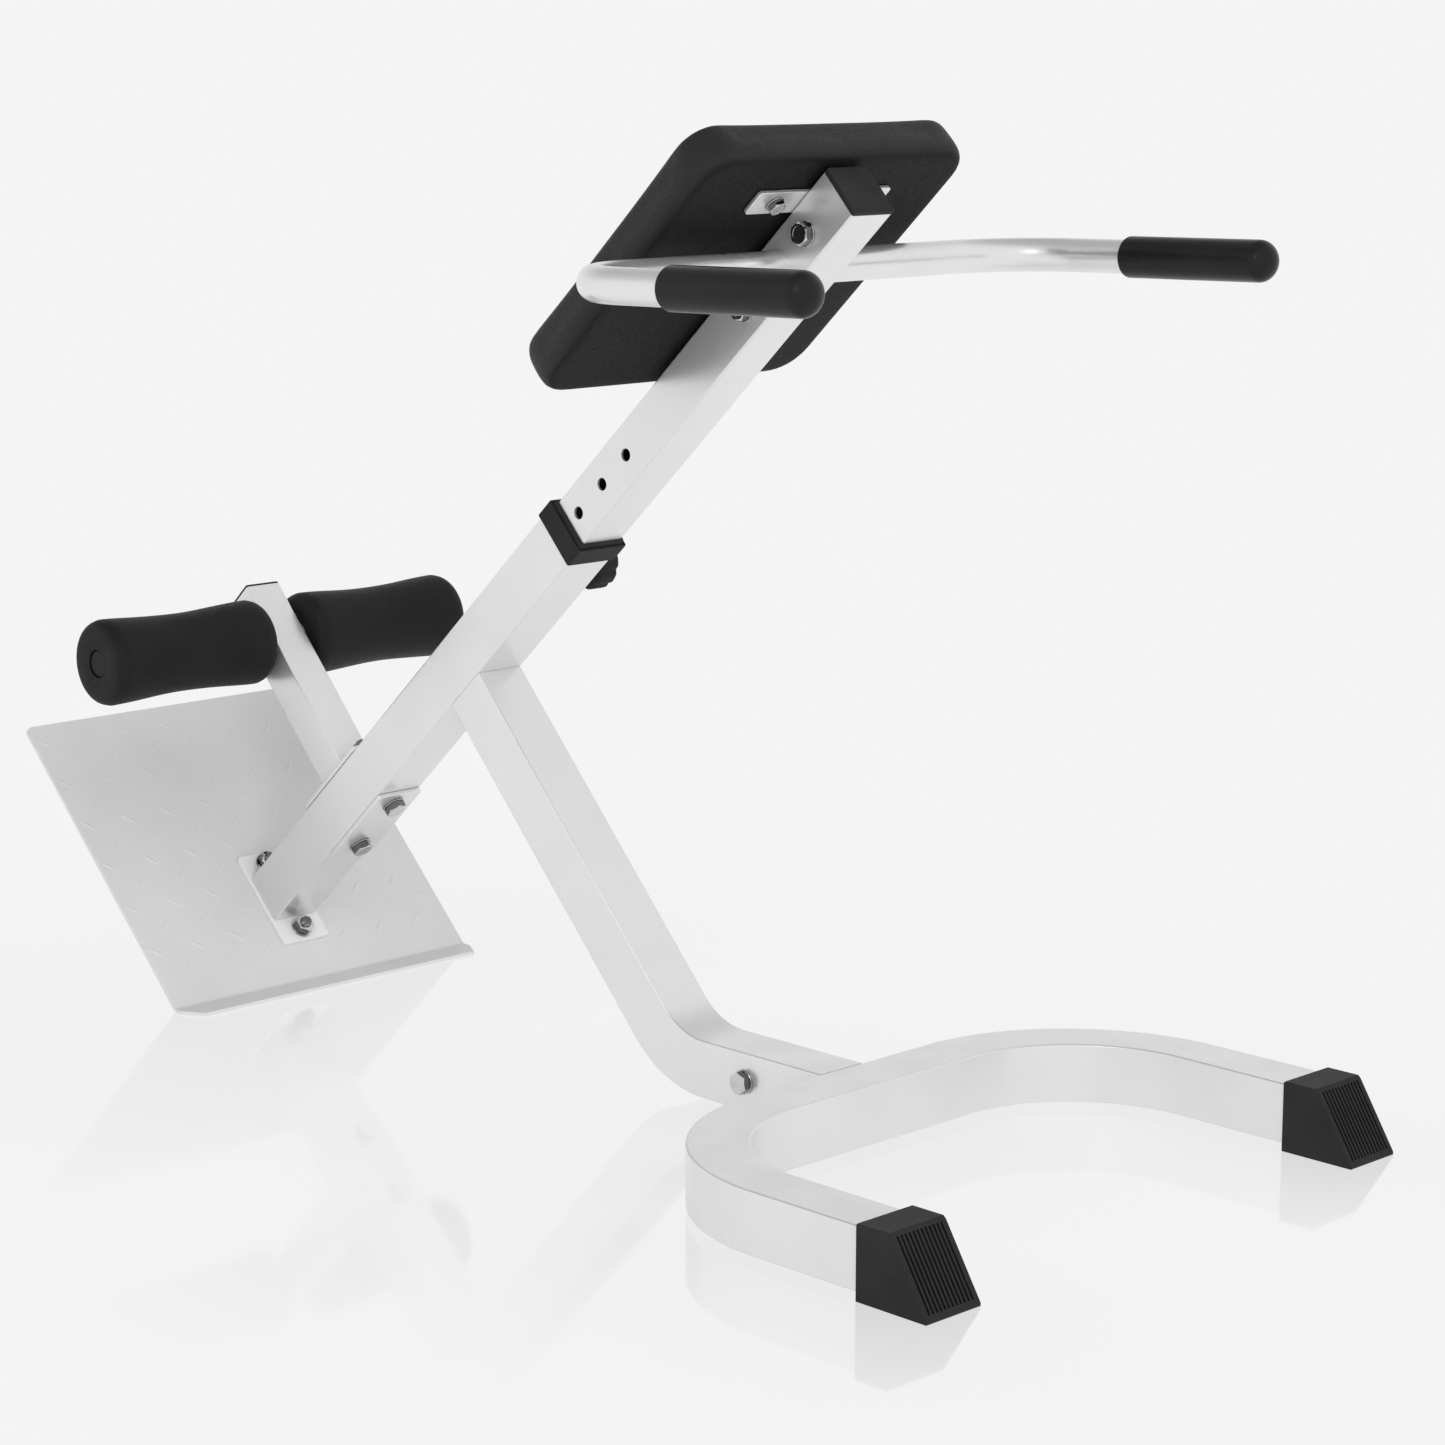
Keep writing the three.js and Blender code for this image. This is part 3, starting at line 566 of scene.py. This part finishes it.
# ---- frame tubes -------------------------------------------------------------------------
def main_beam():
    section = across_beam(TUBE, CORNER)
    flange_face = FLANGE_THICK + 0.2
    foot = []
    for y, h in section:
        # where this line of the beam meets the flange's face
        at = BEAM_FOOT + Y * y + H * h - FOLD
        foot.append(((flange_face - at.dot(PX)) / U.dot(PX), y, h))
    rings = [foot] + beam_rings(section, (30, 120, 250, 380, 480, BEAM_END))
    piece("main_beam_skin", moved(loft(rings), BEAM), PAINT, "frame", ["main_beam"])


def upright():
    start = B(UPRIGHT_AT, 0, -TUBE / 2 - 0.15) / MM
    corner = Vector((start[0] + (start[2] - FLOOR_TUBE_Z) * math.tan(TILT), 0, FLOOR_TUBE_Z))
    end = (UPRIGHT_END_X, 0, FLOOR_TUBE_Z)
    shell = swept([start, corner, end], UPRIGHT_BEND, 2.5, across_beam(TUBE, CORNER))
    piece("upright_skin", moved(shell, MILLI), PAINT, "frame", ["upright"])


def base():
    turns = [(x, y * BASE_LEG_Y, FLOOR_TUBE_Z)
             for x, y in ((BASE_END_X, -1), (BASE_BACK_X, -1), (BASE_BACK_X, 1), (BASE_END_X, 1))]
    shell = swept(turns, BASE_BEND, 2.5, across_beam(TUBE, CORNER))
    piece("base_skin", moved(shell, MILLI), PAINT, "frame", ["base_tube"])


def roller_post():
    section = across_beam(POST_SIDE, CORNER)
    rings = [[(x + POST_AT, y, z) for x, y in section] for z in (29.4, 90, 150, POST_TOP)]
    piece("roller_post_skin", moved(loft(rings), BEAM), PAINT, "frame", ["roller_post"])


def slider():
    """The sliding tube with its row of setting holes cut through."""
    outer = beam_rings(across_beam(SLIDER_TUBE, CORNER), (SLIDER_START, 600, 820, SLIDER_END))
    inner = beam_rings(across_beam(SLIDER_BORE, 1.2), (SLIDER_END, SLIDER_START))
    tube = moved(loft(outer + inner, path_closed=True), BEAM)
    ring = circle(HOLE_RADIUS)
    drills = []
    for k in range(-3, 5):
        at = PIN_AT + HOLE_PITCH * k
        drills.append(moved(loft([[(at + a, y, b) for a, b in ring] for y in (-40, 40)]), BEAM))
    blank, cutter = outward_object("slider_blank", tube), outward_object("slider_holes", join(*drills))
    mod = blank.modifiers.new("holes", "BOOLEAN")
    mod.operation, mod.solver, mod.object = "DIFFERENCE", "EXACT", cutter
    done = bpy.data.meshes.new_from_object(blank.evaluated_get(bpy.context.evaluated_depsgraph_get()))
    for o in (blank, cutter):
        bpy.data.objects.remove(o)
    done.name = "slider_skin"
    done.materials.clear()
    done.materials.append(PAINT)
    done.materials.append(PAINTED_SHADE_BLACK)
    # faces within the bore's reach get the near-black as painted shade
    for p in done.polygons:
        q = p.center / MM - BEAM_FOOT
        p.material_index = 1 if max(abs(q.y), abs(q.dot(H))) < SLIDER_BORE / 2 + 0.5 else 0
    obj = bpy.data.objects.new("slider_skin", done)
    bpy.context.scene.collection.objects.link(obj)
    dress(obj, "slider", ["slider_tube"])


def outward_object(name, shell):
    """A helper object for cutting, its normals outward."""
    mesh = bpy.data.meshes.new(name)
    mesh.from_pydata([tuple(v) for v in shell[0]], [], shell[1])
    bm = bmesh.new()
    bm.from_mesh(mesh)
    bmesh.ops.recalc_face_normals(bm, faces=bm.faces)
    bm.to_mesh(mesh)
    bm.free()
    obj = bpy.data.objects.new(name, mesh)
    bpy.context.scene.collection.objects.link(obj)
    return obj


ARM = Vector((math.cos(BAR_RISE), 0, math.sin(BAR_RISE)))


def arm(along, side):
    """A point of a handle arm's axis, in millimetres."""
    return B(BAR_AT, 0, 0) / MM + Y * side * BAR_HALF + ARM * along


def handlebar():
    turns = [arm(BAR_REACH, -1), arm(0, -1), arm(0, 1), arm(BAR_REACH, 1)]
    shell = swept(turns, BAR_BEND, 3, circle(BAR_RADIUS))
    piece("handlebar_skin", moved(shell, MILLI), PAINT, "slider", ["handlebar"])


def axle():
    shell = lathe([(12.5, y) for y in (-199.9, -100, 100, 199.9)], 48)
    m = place(B(POST_AT, 0, AXLE_UP), U, Y, H)
    piece("roller_axle_skin", moved(shell, m), PAINT, "frame", ["roller_axle"])


# ---- flat plates -------------------------------------------------------------------------
def slab(outline, low, high, ease=0.7):
    """A flat plate from a 2-D outline, its edges eased on both faces."""
    def shrink(pts, d):
        c = np.array(pts)
        nxt, prv = np.roll(c, -1, 0), np.roll(c, 1, 0)
        t = nxt - prv
        t /= np.linalg.norm(t, axis=1)[:, None]
        return c - np.stack([t[:, 1], -t[:, 0]], 1) * d
    rings = []
    for i in range(4):
        a = math.pi / 2 * i / 3
        d, z = ease * (1 - math.sin(a)), low + ease * (1 - math.cos(a))
        rings.append([(x, y, z) for x, y in shrink(outline, d)])
    for i in range(4):
        a = math.pi / 2 * i / 3
        d, z = ease * (1 - math.cos(a)), high - ease * (1 - math.sin(a))
        rings.append([(x, y, z) for x, y in shrink(outline, d)])
    return loft(rings)


def plates():
    flange = slab(rounded(102, 53, 3.5, 6), 0.15, FLANGE_THICK, 0.5)
    m = place(P(0, 0, FLANGE_UP), PZ, -Y, PX)
    # the flange wears the lighter copy of the white paint, as painted light
    piece("beam_foot_flange_skin", moved(flange, m), FLANGE_PAINTED_LIGHT, "frame", ["beam_foot_flange"])
    clamp = rounded(CLAMP_LENGTH, CLAMP_WIDTH, 3, 6)
    for node, low, high in (("post_base_plate", CLAMP_NEAR, CLAMP_FAR),
                            ("post_backing_plate", -CLAMP_FAR, -CLAMP_NEAR)):
        piece(f"{node}_skin", moved(slab(clamp, low, high, 0.6), POST), PAINT, "frame", [node])
    for name, u in BRACKETS:
        bar = slab(rounded(BRACKET_WIDTH, BRACKET_REACH, 3.5, 6), 22.65, 25.65, 0.5)
        bar = moved(bar, place(B(u, 0, 0), U, Y, H))
        node = f"pad_bracket_{name}"
        piece(node + "_skin", bar, PAINT, "slider", [node], angle=40)


def foot_plate():
    """The folded sheet with its raised tread."""
    stations = []  # from the lip to the top: upper face, lower face, half width

    def lip_half(x):
        """The lip narrows towards its free edge."""
        return PLATE_HALF - 13 * max(0.0, min(1.0, (x - 9) / 22))
    for x in (LIP, 27, 20, 12, 9, 7.5):
        upper = Vector((FOLD.x + x, 0, PLATE_THICK))
        stations.append((upper, upper - Vector((0, 0, PLATE_THICK)), lip_half(x)))
    # the inside of the fold is a radius that touches the lip and the plate
    bend = 5.0
    centre = Vector((FOLD.x + bend * math.tan(LEAN / 2), 0, PLATE_THICK + bend))
    for i in range(7):
        a = LEAN * i / 6
        n = Vector((math.sin(a), 0, math.cos(a)))
        upper = centre - n * bend
        stations.append((upper, upper - n * PLATE_THICK, PLATE_HALF))
    corner_z, corner_half = PLATE_TOP - PLATE_CORNER, PLATE_HALF - PLATE_CORNER
    up_the_plate = [(z, PLATE_HALF) for z in (14, 60, 120, 180, 240, 300, corner_z)]
    for i in range(1, 10):
        a = math.radians(90 * i / 9)
        up_the_plate.append((corner_z + PLATE_CORNER * math.sin(a), corner_half + PLATE_CORNER * math.cos(a)))
    for z, half in up_the_plate:
        upper = FOLD + PZ * z
        stations.append((upper, upper - PX * PLATE_THICK, half))
    rings = []
    ease = 0.7
    for upper, lower, half in stations:
        down = (lower - upper).normalized()
        ring = []
        for s in (1, -1):
            side = []
            for face, inward, turns in ((upper, down, (0, 45, 90)), (lower, -down, (90, 45, 0))):
                for a in turns:
                    a = math.radians(a)
                    out = half - ease + ease * math.sin(a)
                    side.append(face + inward * ease * (1 - math.cos(a)) + Y * s * out)
            ring += side if s > 0 else side[::-1]
        rings.append(ring)
    sheet = moved(loft(rings), MILLI)
    shell = join(sheet, moved(join(*tread()), PLATE_FACE))
    piece("foot_plate_skin", shell, PLATE, "frame", ["foot_plate"], angle=50)


TREAD_Y, TREAD_Z = 45.6, 48.8    # pitch of the tread across and up the plate


def tread():
    """Raised bars in two staggered grids of opposite lean, clear of the edges and of the flange."""
    bars = []
    for half_step, lean in ((0, -1), (0.5, 1)):
        for i in range(-5, 6):
            for j in range(-1, 9):
                y = 20.2 + TREAD_Y * (i + half_step)
                z = 13.0 + TREAD_Z * (j + half_step)
                on_flange = abs(y) < 36 and 30 < z < 151
                if abs(y) <= 163 and 14 < z < 315 and not on_flange:
                    bars.append(tread_bar(y, z, lean))
    return bars


def tread_bar(y0, z0, lean):
    """One raised lens of the tread pattern, at 45 degrees."""
    length, width, tall = 11.5, 2.3, 0.55  # half length, half width, height
    slant = 0.7071
    rows = []
    n, m = 12, 6
    for i in range(n + 1):
        s = -1 + 2 * i / n
        w = width * (1 - s * s) + 0.02
        row = []
        for j in range(m + 1):
            q = -1 + 2 * j / m
            x = tall * (1 - s * s) * (1 - q * q) - 0.03
            a, b = s * length, q * w
            row.append((x, y0 + (a + b * lean) * slant, z0 + (a * lean - b) * slant))
        rows.append(row)
    return loft(rows, caps=False, ring_closed=False)


# ---- fasteners ---------------------------------------------------------------------------
def hex_levels(flats, levels, n=72):
    """Rings up a hexagon: each level is (height, kind, value), kind being hex, cone or round."""
    rings = []
    for z, kind, value in levels:
        ring = []
        for i in range(n):
            a = 2 * math.pi * i / n
            k = (a % (math.pi / 3)) - math.pi / 6
            edge = flats / 2 / math.cos(k)
            if kind == "hex":
                r, zz = edge * value, z
            elif kind == "cone":  # the chamfer's cone bites the corners
                r, zz = edge, z + value * (edge - flats / 2 * 0.97) * 0.55
            else:
                r, zz = value, z
            ring.append((r * math.cos(a), r * math.sin(a), zz))
        rings.append(ring)
    return rings


def washer(radius, thick, hole):
    profile = [(hole, 0), (radius - 0.25, 0), (radius, 0.25), (radius, thick - 0.3), (radius - 0.3, thick),
               (hole, thick)]
    return loft([[(x, y, z) for x, y in circle(r, 56)] for r, z in profile], path_closed=True)


WASHER = 1.5  # thickness: heads and nuts stand on it


def bolt_head(flats, tall):
    low, top, r = WASHER, WASHER + tall, flats / 2
    return loft(hex_levels(flats, [
        (low, "round", r * 0.94), (low + 0.25, "hex", 1.0), (top - 0.1, "cone", -1), (top, "round", r * 0.93),
        (top + 0.02, "round", r * 0.74), (top - 0.28, "round", r * 0.66)]))


def nut_body(flats, tall, hole):
    low, top, r = WASHER, WASHER + tall, flats / 2
    return loft(hex_levels(flats, [
        (low, "round", r * 0.94), (low + 0.15, "cone", 1), (top - 0.1, "cone", -1), (top, "round", r * 0.93),
        (top, "round", hole + 0.6), (top - 0.6, "round", hole), (low, "round", hole)]), path_closed=True)


def thread(radius, low, high, pitch=1.5):
    """The threaded end of a bolt, with a real helix and a chamfered tip."""
    n, rings = 36, []
    steps = max(4, int((high - low) / pitch * 6))
    for i in range(steps + 1):
        z = low + (high - low) * i / steps
        ring = []
        for j in range(n):
            f = ((z / pitch) - j / n) % 1.0
            r = radius - 0.75 * abs(2 * f - 1)
            if z > high - 1.2:
                r = min(r, radius - 0.9 * (z - high + 1.2))
            a = 2 * math.pi * j / n
            ring.append((r * math.cos(a), r * math.sin(a), z))
        rings.append(ring)
    return loft(rings)


def axes_for(direction, spin=0.0):
    """Axes with z along direction; spin turns the hexagon, in degrees."""
    z = Vector(direction).normalized()
    x = (Y if abs(z.y) < 0.9 else Vector((0, 0, 1)))
    x = (x - z * x.dot(z)).normalized()
    y = z.cross(x)
    a = math.radians(spin)
    return x * math.cos(a) + y * math.sin(a), y * math.cos(a) - x * math.sin(a), z


def fastener(name, node, at, out, kind, flats, tall, radius, body, spin=0.0, stick=3.2):
    """A washer with a bolt head or a nut and its thread end; out points away from the metal."""
    m = place(at, *axes_for(out, spin))
    shells = [washer(flats * 0.62, WASHER, radius + 0.3)]
    if kind == "bolt":
        shells += [bolt_head(flats, tall)]
    else:
        shells += [nut_body(flats, tall, radius + 0.05), thread(radius, 1.0, WASHER + tall + stick)]
    obj = piece(name, moved(join(*shells), m), [ZINC, ZINC_PAINTED_SHADE], body, [node], angle=24)
    # painted shade: faces turned across out (flats, rims, thread end) get the darker zinc, faces that look
    # along out keep the bright zinc
    for p in obj.data.polygons:
        q = (p.center - at) / MM
        off_axis = (q - out * q.dot(out)).length
        thread_end = kind == "nut" and off_axis < radius - 0.2
        p.material_index = 1 if thread_end or abs(p.normal.dot(out)) < 0.5 else 0


def fasteners():
    carriage_head = [(0.0, -5.0), (3, -4.75), (6, -3.9), (8.4, -2.5), (9.7, -0.9), (10, -0.2), (9.9, 0),
                     (5, 0)]
    for i, z in enumerate((128.5, 52.5)):
        # nuts and washers on the beam's side of the foot plate, round heads on the other
        n = i + 1
        at = P(FLANGE_THICK + 0.15, 0, z)
        fastener(f"foot_nut_{n}", f"foot_plate_nut_{n}", at, PX, *M10_NUT, "frame", 12 + 17 * i, 4.2)
        m = place(P(-3.2, 0, z), PZ, PX, Y)
        piece(f"foot_bolt_{n}", moved(lathe(carriage_head, 48), m), ZINC, "frame",
              [f"foot_plate_bolt_{n}"], angle=40)
    face = CLAMP_FAR + 0.15
    for i, u in enumerate((137, 205)):
        n = i + 1
        fastener(f"post_bolt_{n}_head", f"post_bolt_{n}", B(u, 0, -face), -H, *M10_HEAD, "frame", 20 + 23 * i)
        fastener(f"post_nut_{n}_set", f"post_nut_{n}", B(u, 0, face), H, *M10_NUT, "frame", 8, 2.6)
    side = TUBE / 2 + 0.2
    fastener("base_joint_bolt_head", "base_joint_bolt", W(JOINT_BOLT_X, -side, FLOOR_TUBE_Z), -Y, *M10_HEAD,
             "frame", 8)
    fastener("base_joint_nut_set", "base_joint_nut", W(JOINT_BOLT_X, side, FLOOR_TUBE_Z), Y, *M10_NUT,
             "frame", 14, 5)
    side = SLIDER_TUBE / 2 + 0.2
    for i, u in enumerate((885, 977)):
        n = i + 1
        fastener(f"carrier_bolt_{n}_head", f"carrier_bolt_{n}", B(u, -side, 0), -Y, *M10_HEAD, "slider",
                 25 - 20 * i)
        fastener(f"carrier_nut_{n}_set", f"carrier_nut_{n}", B(u, side, 0), Y, *M10_NUT, "slider", 9, 2.6)
    for name, u in BRACKETS:
        for j, y in enumerate((-PAD_BOLT_Y, PAD_BOLT_Y)):
            node = f"pad_bolt_{name}_{j + 1}"
            fastener(f"{node}_head", node, B(u, y, SLIDER_TUBE / 2), -H, *M8_HEAD, "slider", 15 + 20 * j)


# ---- plastic parts -----------------------------------------------------------------------
def collar():
    """Guide collar: a square band, a groove painted near-black as its shadow, and a tapered inner ring around
    the sliding tube.
    """
    # along the beam, half width, corner radius
    profile = [(577, 25.4, 2), (577, 27.1, 2), (577.5, 27.6, 2.2), (597.0, 27.6, 2.2), (597.5, 27.2, 2),
               (597.5, 26.2, 2), (596.3, 25.9, 2), (596.3, 25.3, 2), (597.9, 25.2, 2), (600.9, 24.2, 2),
               (601.6, 23.5, 1.9), (601.6, 22.85, 1.8), (598, 22.85, 1.8), (592, 22.85, 1.8), (591, 25.4, 2)]
    rings = [[(u, y, h) for y, h in across_beam(2 * s, r)] for u, s, r in profile]
    shell = moved(loft(rings, path_closed=True), BEAM)
    obj = piece("beam_collar_skin", shell, [PLASTIC, PAINTED_SHADE_BLACK], "frame", ["beam_collar"],
                angle=40)
    # the groove's faces get the near-black as painted shadow
    for p in obj.data.polygons:
        q = p.center / MM - BEAM_FOOT
        s = max(abs(q.y), abs(q.dot(H)))
        in_groove = 596.2 < q.dot(U) < 597.45 and 25.2 < s < 26.25
        p.material_index = 1 if in_groove else 0


def end_pieces():
    """Caps of the post and the slider, and on each side a base cap and an axle plug."""
    top = slab(rounded(38, 38, 2.2, 5), POST_TOP + 0.1, 236.0, 0.5)
    piece("post_cap_skin", moved(top, POST), PLASTIC, "frame", ["post_cap"])
    cap = slab(rounded(45.6, 45.6, 2.2, 5), SLIDER_END + 0.1, 1028.7, 0.7)
    piece("slider_end_cap_skin", moved(cap, place(B(0, 0, 0), Y, H, U)), PLASTIC, "slider",
          ["slider_end_cap"])
    slope_top = Vector((594.4, 0, 58.7))  # the base caps' grooved slope starts here
    square_to_slope = Vector((61.4 - 5.7, 0, 35.6)).normalized()
    plug_profile = [(0.0, 200.2), (9, 200.2), (12.4, 200.3), (12.3, 201.2), (11.6, 202.0), (10.8, 202.3),
                    (6, 202.35), (0.0, 202.4)]
    for side, name in ((-1, "right"), (1, "left")):
        obj = refined(f"base_cap_{name}", f"base_cap_{name}_skin", PLASTIC, "frame", 0.7, 30)
        obj.data.materials.append(PAINTED_SHADE_BLACK)
        # the faces down in the grooves on the caps' slope get the near-black as painted shade
        for p in obj.data.polygons:
            c = p.center / MM
            depth = (slope_top - Vector((c.x, 0, c.z))).dot(square_to_slope)
            in_grooves = c.x > 588 and c.z > 4.9 and abs(c.y - side * BASE_LEG_Y) < 24.2
            p.material_index = 1 if in_grooves and 0.5 < depth < 2.9 else 0
        m = place(B(POST_AT, 0, AXLE_UP), U, Y * side, H * side)
        piece(f"axle_plug_{name}_skin", moved(lathe(plug_profile, 56), m), PLASTIC, "frame",
              [f"axle_plug_{name}"])


def knob():
    """The pull pin's lobed knob, and the housing it stands on."""
    n, lobes, depth = 180, 9, 2.1
    # radius, distance from the beam's axis, share of the lobes' depth
    profile = [(0.0, 32.0, 0), (14.5, 32.0, 0), (15.5, 32.8, 0), (15.6, 36.0, 0), (18, 36.1, 0.1),
               (21.6, 36.6, 0.6), (23.6, 37.8, 1), (24.5, 40, 1), (24.5, 53, 1), (24.1, 54.9, 1),
               (22.8, 56.4, 0.8), (20.6, 57.0, 0.5), (16, 56.7, 0.1), (0.0, 56.5, 0)]
    rings = []
    for r, y, lobe in profile:
        ring = []
        for i in range(n):
            a = 2 * math.pi * i / n
            bite = max(0.0, -math.cos(lobes * a)) ** 1.4
            rr = max(r - depth * lobe * bite, 0.001)
            ring.append((rr * math.cos(a), y, rr * math.sin(a)))
        rings.append(ring)
    m = place(B(PIN_AT, 0, 0), U, Y, H)
    shell = moved(loft(rings), m)
    piece("pull_pin_knob_skin", shell, PLASTIC, "pull_pin", ["pull_pin_knob"], angle=50)
    housing = [(8, 25.2), (12.5, 25.2), (12.5, 28), (10.6, 29.4), (10.6, 47.4), (9.4, 48.5), (5.35, 48.5),
               (5.35, 46), (8, 46), (8, 25.2)]
    shell = moved(lathe(housing, 56), m)
    piece("pull_pin_housing_skin", shell, ZINC, "frame", ["pull_pin_housing"], angle=30)


def grips():
    start, length, r, nose = 126.5, 146.5, 17.0, 15
    profile = [(14.2, 0), (15.6, 0.0), (16.5, 0.5), (r, 1.6), (r, 60), (r, 120), (r, length - nose)]
    for i in range(1, 15):
        a = math.radians(90 * i / 14)
        profile.append((max(0.0, r * math.cos(a)), length - nose + nose * math.sin(a)))
    for side, name in ((1, "left"), (-1, "right")):
        m = place(arm(start, side) * MM, Y, ARM, ARM.cross(Y))
        shell = moved(lathe(profile, 72), m)
        piece(f"grip_{name}_skin", shell, GRIP, "slider", [f"grip_{name}"], angle=45)


# ---- soft parts --------------------------------------------------------------------------
def rollers():
    """Waisted foam rollers with rounded ends and a bore for the axle."""
    lo, hi = ROLLER_IN, ROLLER_OUT
    bore = 13.0
    quarter = [math.radians(90 * i / 8) for i in range(1, 8)]
    profile = [(bore, lo + 0.6), (20, lo + 0.1), (27, lo), (31, lo + 0.5)]
    profile += [(SWELL - 8.5 + 8 * math.sin(a), lo + 9.5 - 9 * math.cos(a)) for a in quarter]
    steps = 40
    for i in range(steps + 1):
        t = i / steps
        profile.append((SWELL - (SWELL - WAIST) * math.sin(math.pi * t) ** 1.5, lo + 10 + (hi - lo - 20) * t))
    profile += [(SWELL - 8.5 + 8 * math.sin(a), hi - 9.5 + 9 * math.cos(a)) for a in quarter[::-1]]
    profile += [(31, hi - 0.5), (27, hi), (20, hi - 0.1), (bore, hi - 0.6), (bore, lo + 0.6)]
    for side, name in ((1, "left"), (-1, "right")):
        m = place(B(POST_AT, 0, AXLE_UP), U, Y * side, H * side)
        verts, faces = lathe(profile, 96)
        # foam is never quite true: a slow swell of up to 0.16 mm
        soft = []
        for x, y, z in verts:
            a = math.atan2(z, x)
            k = 1 + 0.004 * math.sin(3 * a + y / 17.0) * math.sin(y / 23.0 + side)
            soft.append((x * k, y, z * k))
        obj = piece(f"ankle_roller_{name}_foam", moved((soft, faces), m), FOAM, f"roller_{name}",
                    [f"ankle_roller_{name}"], angle=60, weighted=False)


PAD_LENGTH, PAD_WIDTH, PAD_MIDDLE = 286, 296, 896
PAD_LOW, PAD_HIGH, PAD_CORNER = 26.15, 69.0, 30
PAD_INSET = 0.2            # room for the swelling, in millimetres
SWELL_LIMIT = 0.0022       # metres
SWELL_FRAMES = 20


def cushion():
    """The pad: firm foam under vinyl that wraps down over the board, swollen a little by a pressure run."""
    rings = []
    # height, and how far the outline is drawn in there
    for h, d in ((PAD_LOW, 5.5), (PAD_LOW + 1.2, 3.0), (PAD_LOW + 3.5, 1.2), (PAD_LOW + 7, 0.4),
                 (PAD_LOW + 12, 0), (58, 0), (63, 1.6), (66.5, 4.5), (PAD_HIGH - 1.5, 9.5)):
        d += PAD_INSET
        outline = rounded(PAD_LENGTH - 2 * d, PAD_WIDTH - 2 * d, PAD_CORNER - d * 0.6, 10)
        rings.append([(x + PAD_MIDDLE, y, h) for x, y in outline])
    mesh = bpy.data.meshes.new("pad_cover")
    verts, faces = loft(rings)
    mesh.from_pydata(verts, [], faces)
    obj = bpy.data.objects.new("pad_cover", mesh)
    bpy.context.scene.collection.objects.link(obj)
    mesh.transform(MILLI)
    sharpen(mesh)
    swell(obj)
    smooth = obj.modifiers.new("even", "SMOOTH")
    smooth.factor, smooth.iterations = 0.5, 3
    sub = obj.modifiers.new("fine", "SUBSURF")
    sub.levels = sub.render_levels = 1
    bake(obj)
    set_points(obj, points(obj))
    obj.data.transform(BEAM @ Matrix.Scale(1 / MM, 4))
    obj.data.materials.clear()
    obj.data.materials.append(VINYL)
    # marks the underside, where the vinyl gets its painted shade
    under = obj.data.attributes.new("under", "FLOAT", "POINT")
    for i, v in enumerate(obj.data.vertices):
        under.data[i].value = max(0.0, min(1.0, (-v.normal.dot(H) - 0.5) / 0.45))
    dress(obj, "slider", ["pad_cushion", "pad_board"], angle=75, weighted=False)


def swell(obj):
    """A cloth run under slight pressure, held at the board, with each point's movement limited."""
    remesh = obj.modifiers.new("even", "REMESH")
    remesh.mode, remesh.voxel_size = "VOXEL", 0.0045
    bake(obj)
    rest = points(obj)
    pin = obj.vertex_groups.new(name="board")
    for i, p in enumerate(rest):
        near = max(0.0, min(1.0, (0.034 - p[2]) / 0.006))
        pin.add([i], near, "REPLACE")
    cloth = obj.modifiers.new("swell", "CLOTH")
    s = cloth.settings
    s.use_pressure, s.uniform_pressure_force = True, 2.5
    s.effector_weights.gravity = 0
    s.vertex_group_mass = "board"
    s.pin_stiffness = 5
    s.tension_stiffness = s.compression_stiffness = 40
    s.quality = 6
    scene = bpy.context.scene
    scene.frame_start, scene.frame_end = 1, SWELL_FRAMES
    cloth.point_cache.frame_start, cloth.point_cache.frame_end = 1, SWELL_FRAMES
    for f in range(1, SWELL_FRAMES + 1):
        scene.frame_set(f)
    bake(obj)
    step = points(obj) - rest
    far = np.linalg.norm(step, axis=1)
    step *= np.minimum(1.0, SWELL_LIMIT / np.maximum(far, 1e-9))[:, None]
    set_points(obj, rest + step)
    scene.frame_set(1)


def set_points(obj, co):
    """Moves obj's vertices to co, none of them below the pad's underside."""
    co[:, 2] = np.maximum(co[:, 2], PAD_LOW * MM)
    obj.data.vertices.foreach_set("co", co.astype(np.float32).ravel())


def bake(obj):
    """Applies obj's modifiers to its mesh."""
    dg = bpy.context.evaluated_depsgraph_get()
    mesh = bpy.data.meshes.new_from_object(obj.evaluated_get(dg))
    obj.modifiers.clear()
    obj.data = mesh


def points(obj):
    co = np.zeros(len(obj.data.vertices) * 3, np.float32)
    obj.data.vertices.foreach_get("co", co)
    return co.reshape(-1, 3).astype(float)


# ---- build -------------------------------------------------------------------------------
camera()
studio()
main_beam()
upright()
base()
roller_post()
slider()
handlebar()
axle()
plates()
foot_plate()
fasteners()
collar()
end_pieces()
knob()
grips()
rollers()
cushion()

# the CAD parts that no piece stands for lie inside the tubes, and are painted like them
for node in NODES.values():
    if not node.hide_render:
        node.data.materials.clear()
        node.data.materials.append(PAINT)
